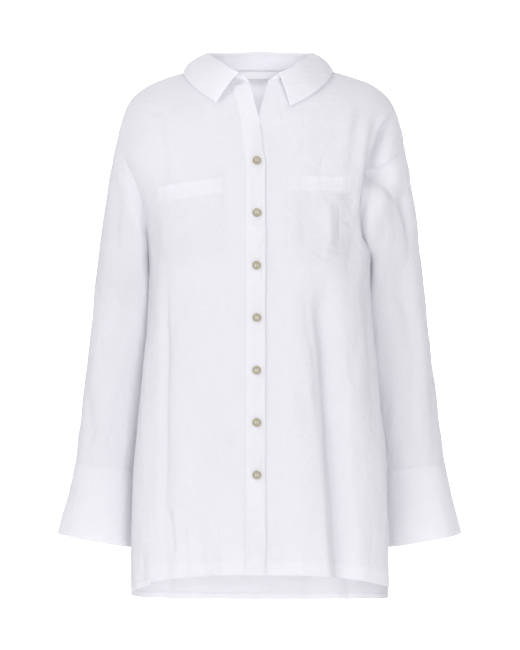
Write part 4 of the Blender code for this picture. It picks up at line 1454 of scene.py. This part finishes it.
def button_thread(name, seat, turn):
    """Two bars of thread through a button's holes, and the shank behind it."""
    curve = bpy.data.curves.new(name, "CURVE")
    curve.dimensions = "3D"
    curve.bevel_depth = THREAD_HALF * MM
    curve.bevel_resolution = 2
    curve.use_fill_caps = True
    columns = [x + strand for x in (-BUTTON_HOLE_PLACE, BUTTON_HOLE_PLACE) for strand in THREAD_STRANDS]
    lines = [([(x, *place) for place in THREAD_PATH], 1.0) for x in columns]
    for line, radius in lines + [(SHANK_PATH, SHANK_RADIUS)]:
        spline = curve.splines.new("POLY")
        spline.points.add(len(line) - 1)
        for point, place in zip(spline.points, line):
            point.co = (*(seat + turn @ Vector(place)) * MM, 1)
            point.radius = radius
    curve.materials.append(material_of("sewing_thread"))
    thread = linked(name, curve)
    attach(thread, "root")


def make_buttons():
    """Seven four-hole buttons with their thread."""
    mesh = button_mesh(material_of("button_horn"))
    for number, height in enumerate(BUTTON_HEIGHTS, start=1):
        point, out = footing(BUTTON_X, height)
        seat = Vector(point + out * BUTTON_SEAT)
        turn = Vector(out).to_track_quat("Z", "Y")
        piece = linked(f"button_{number}_horn", mesh)
        piece.location = seat * MM
        piece.rotation_euler = turn.to_euler()
        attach(piece, "root")
        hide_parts(f"button_{number}")
        button_thread(f"button_{number}_thread", seat, turn)


def area_light(name, place, size, aim, power):
    """A square softbox turned to a point."""
    light = bpy.data.lights.new(name, "AREA")
    light.shape = "SQUARE"
    light.size = size
    light.energy = power
    lamp = linked(name, light)
    lamp.location = place
    lamp.rotation_euler = (Vector(aim) - Vector(place)).to_track_quat("-Z", "Y").to_euler()


def studio_air(studio):
    """A world that is grey in front of the shirt and white behind it."""
    world = bpy.data.worlds.new("studio_air")
    world.use_nodes = True
    tree = world.node_tree
    way = node_in(tree, "ShaderNodeTexCoord").outputs["Generated"]
    parts = node_in(tree, "ShaderNodeSeparateXYZ", {0: way}).outputs
    reach = {"Value": parts["Y"], "From Min": AIR_FROM, "From Max": AIR_TO}
    behind = node_in(tree, "ShaderNodeMapRange", reach, interpolation_type="SMOOTHSTEP").outputs["Result"]
    front, back = ([light] * 3 + [1.0] for light in (studio.air_light, studio.back_light))
    background = tree.nodes["Background"].inputs
    background["Strength"].default_value = 1.0
    feed(tree, background["Color"], mix_colours(tree, behind, front, back))
    return world


def make_studio():
    """A pale floor, softboxes at the viewer's left and in front, and a level camera."""
    scene = bpy.context.scene
    studio = scene.shirt_studio
    scene.view_settings.view_transform = "Standard"
    scene.world = studio_air(studio)
    bpy.ops.mesh.primitive_circle_add(
        vertices=96, radius=studio.floor_radius, fill_type="NGON", location=(0, 0, -studio.floor_drop)
    )
    floor = bpy.context.object
    floor.name = "studio_floor"
    floor.data.materials.append(material_of("pale_floor"))
    middle = (0, 0, -studio.camera_drop)
    area_light("soft_key", *KEY_BOX, middle, studio.key_light)
    area_light("soft_front", *FRONT_BOX, middle, studio.fill_light)
    camera = bpy.data.cameras.new("level_camera")
    camera.sensor_width = SENSOR_MM
    camera.lens = SENSOR_MM * studio.camera_distance / studio.frame_height
    scene.camera = linked("level_camera", camera)
    scene.camera.location = (0, -studio.camera_distance, -studio.camera_drop)
    scene.camera.rotation_euler = (math.pi / 2, 0, 0)


def length_of(name, description, default, **limits):
    """A property in metres."""
    return FloatProperty(name=name, description=description, default=default, unit="LENGTH", **limits)


def strength_of(name, description, default, **unit):
    """A property for how strong a light is."""
    return FloatProperty(name=name, description=description, default=default, **unit)


def colour_of(name, description, default):
    """A colour property."""
    return FloatVectorProperty(
        name=name, description=description, default=default, subtype="COLOR", size=3, min=0.0, max=1.0
    )


class ShirtSizes(bpy.types.PropertyGroup):
    """Sizes of the cloth and its sewing."""

    cloth: length_of("Cloth", "Thickness of one layer of linen", 0.0009, min=0.0003, max=0.002)
    rumple_depth: length_of("Rumple", "Depth of the cloth's soft unevenness", 0.0023, min=0.0, max=0.004)
    thread_pitch: length_of("Thread pitch", "Distance between two threads of the weave", 0.0006, min=0.0002)
    stitch_length: length_of("Stitch", "Distance from stitch to stitch", 0.0030, min=0.001, max=0.006)
    thread_width: length_of("Thread", "Width of the sewing thread", 0.0004, min=0.0001, max=0.001)


class ShirtColours(bpy.types.PropertyGroup):
    """Colours of the shirt's materials."""

    linen: colour_of("Linen", "Colour of the cloth", (0.77, 0.766, 0.789))
    thread: colour_of("Thread", "Colour of the stitching", (0.80, 0.80, 0.82))
    label: colour_of("Label", "Colour of the bare label", (0.74, 0.74, 0.76))
    button: colour_of("Button", "Colour of the buttons", (0.305, 0.274, 0.195))
    button_rim: colour_of("Button rim", "Colour of the buttons' rim", (0.275, 0.245, 0.168))


class ShirtStudio(bpy.types.PropertyGroup):
    """The floor, the light and the camera."""

    floor_colour: colour_of("Floor", "Colour of the floor", (0.78, 0.78, 0.78))
    floor_drop: length_of("Floor drop", "How far the floor lies under the shoulders", 1.40)
    floor_radius: length_of("Floor radius", "Radius of the floor", 4.2)
    air_light: strength_of("Air light", "Strength of the even light in front", 0.42)
    back_light: strength_of("Back light", "Strength of the white light behind", 1.9)
    key_light: strength_of("Key", "Power of the main softbox", 77.0, unit="POWER")
    fill_light: strength_of("Fill", "Power of the front softbox", 114.0, unit="POWER")
    camera_distance: length_of("Camera distance", "From the camera to the shirt's middle", 4.0)
    camera_drop: length_of("Camera drop", "How far the camera lies under the shoulders", 0.371)
    frame_height: length_of("Frame height", "What the picture's height covers at the shirt", 0.975)


class ShirtOperator:
    """What the operators share."""

    bl_options = {"REGISTER", "UNDO"}


class SHIRT_OT_back(ShirtOperator, bpy.types.Operator):
    """Make the back with its hem"""

    bl_idname = "shirt.back"
    bl_label = "Back"

    def execute(self, context):
        make_back()
        return {"FINISHED"}


class SHIRT_OT_fronts(ShirtOperator, bpy.types.Operator):
    """Make both fronts with their hems"""

    bl_idname = "shirt.fronts"
    bl_label = "Fronts"

    def execute(self, context):
        make_front(-1)
        make_front(1)
        return {"FINISHED"}


class SHIRT_OT_sleeves(ShirtOperator, bpy.types.Operator):
    """Make both sleeves and their cuffs"""

    bl_idname = "shirt.sleeves"
    bl_label = "Sleeves and cuffs"

    def execute(self, context):
        make_sleeve(-1)
        make_sleeve(1)
        return {"FINISHED"}


class SHIRT_OT_collar(ShirtOperator, bpy.types.Operator):
    """Make the collar stand and the folded collar"""

    bl_idname = "shirt.collar"
    bl_label = "Collar"

    def execute(self, context):
        make_collar()
        return {"FINISHED"}


class SHIRT_OT_placket(ShirtOperator, bpy.types.Operator):
    """Make the button band"""

    bl_idname = "shirt.placket"
    bl_label = "Placket"

    def execute(self, context):
        make_placket()
        return {"FINISHED"}


class SHIRT_OT_pockets(ShirtOperator, bpy.types.Operator):
    """Make both patch pockets"""

    bl_idname = "shirt.pockets"
    bl_label = "Pockets"

    def execute(self, context):
        for pocket in POCKETS:
            make_pocket(pocket)
        return {"FINISHED"}


class SHIRT_OT_label(ShirtOperator, bpy.types.Operator):
    """Make the bare neck label"""

    bl_idname = "shirt.label"
    bl_label = "Label"

    def execute(self, context):
        make_label()
        return {"FINISHED"}


class SHIRT_OT_buttons(ShirtOperator, bpy.types.Operator):
    """Make the buttons and their thread"""

    bl_idname = "shirt.buttons"
    bl_label = "Buttons"

    def execute(self, context):
        make_buttons()
        return {"FINISHED"}


class SHIRT_OT_studio(ShirtOperator, bpy.types.Operator):
    """Set the floor, the light and the camera"""

    bl_idname = "shirt.studio"
    bl_label = "Studio"

    def execute(self, context):
        make_studio()
        return {"FINISHED"}


OPERATORS = (
    SHIRT_OT_studio,
    SHIRT_OT_back,
    SHIRT_OT_fronts,
    SHIRT_OT_sleeves,
    SHIRT_OT_collar,
    SHIRT_OT_placket,
    SHIRT_OT_pockets,
    SHIRT_OT_label,
    SHIRT_OT_buttons,
)


class SHIRT_PT_sidebar(bpy.types.Panel):
    """Sizes, colours and steps of the linen shirt"""

    bl_label = "Linen Shirt"
    bl_idname = "SHIRT_PT_sidebar"
    bl_space_type = "VIEW_3D"
    bl_region_type = "UI"
    bl_category = "Linen Shirt"

    def draw(self, context):
        layout = self.layout
        for group in (context.scene.shirt_sizes, context.scene.shirt_colours, context.scene.shirt_studio):
            box = layout.box()
            for name in group.bl_rna.properties.keys():
                if name not in ("rna_type", "name"):
                    box.prop(group, name)
        for operator in OPERATORS:
            layout.operator(operator.bl_idname)


GROUPS = {"shirt_sizes": ShirtSizes, "shirt_colours": ShirtColours, "shirt_studio": ShirtStudio}


def register():
    for group in GROUPS.values():
        bpy.utils.register_class(group)
    for name, group in GROUPS.items():
        setattr(bpy.types.Scene, name, PointerProperty(type=group))
    for operator in OPERATORS:
        bpy.utils.register_class(operator)
    bpy.utils.register_class(SHIRT_PT_sidebar)


def unregister():
    bpy.utils.unregister_class(SHIRT_PT_sidebar)
    for operator in reversed(OPERATORS):
        bpy.utils.unregister_class(operator)
    for name, group in reversed(GROUPS.items()):
        delattr(bpy.types.Scene, name)
        bpy.utils.unregister_class(group)


def main():
    register()
    bpy.ops.shirt.studio()
    bpy.ops.shirt.back()
    bpy.ops.shirt.fronts()
    bpy.ops.shirt.sleeves()
    bpy.ops.shirt.collar()
    bpy.ops.shirt.placket()
    bpy.ops.shirt.pockets()
    bpy.ops.shirt.label()
    bpy.ops.shirt.buttons()


if __name__ == "__main__":
    main()
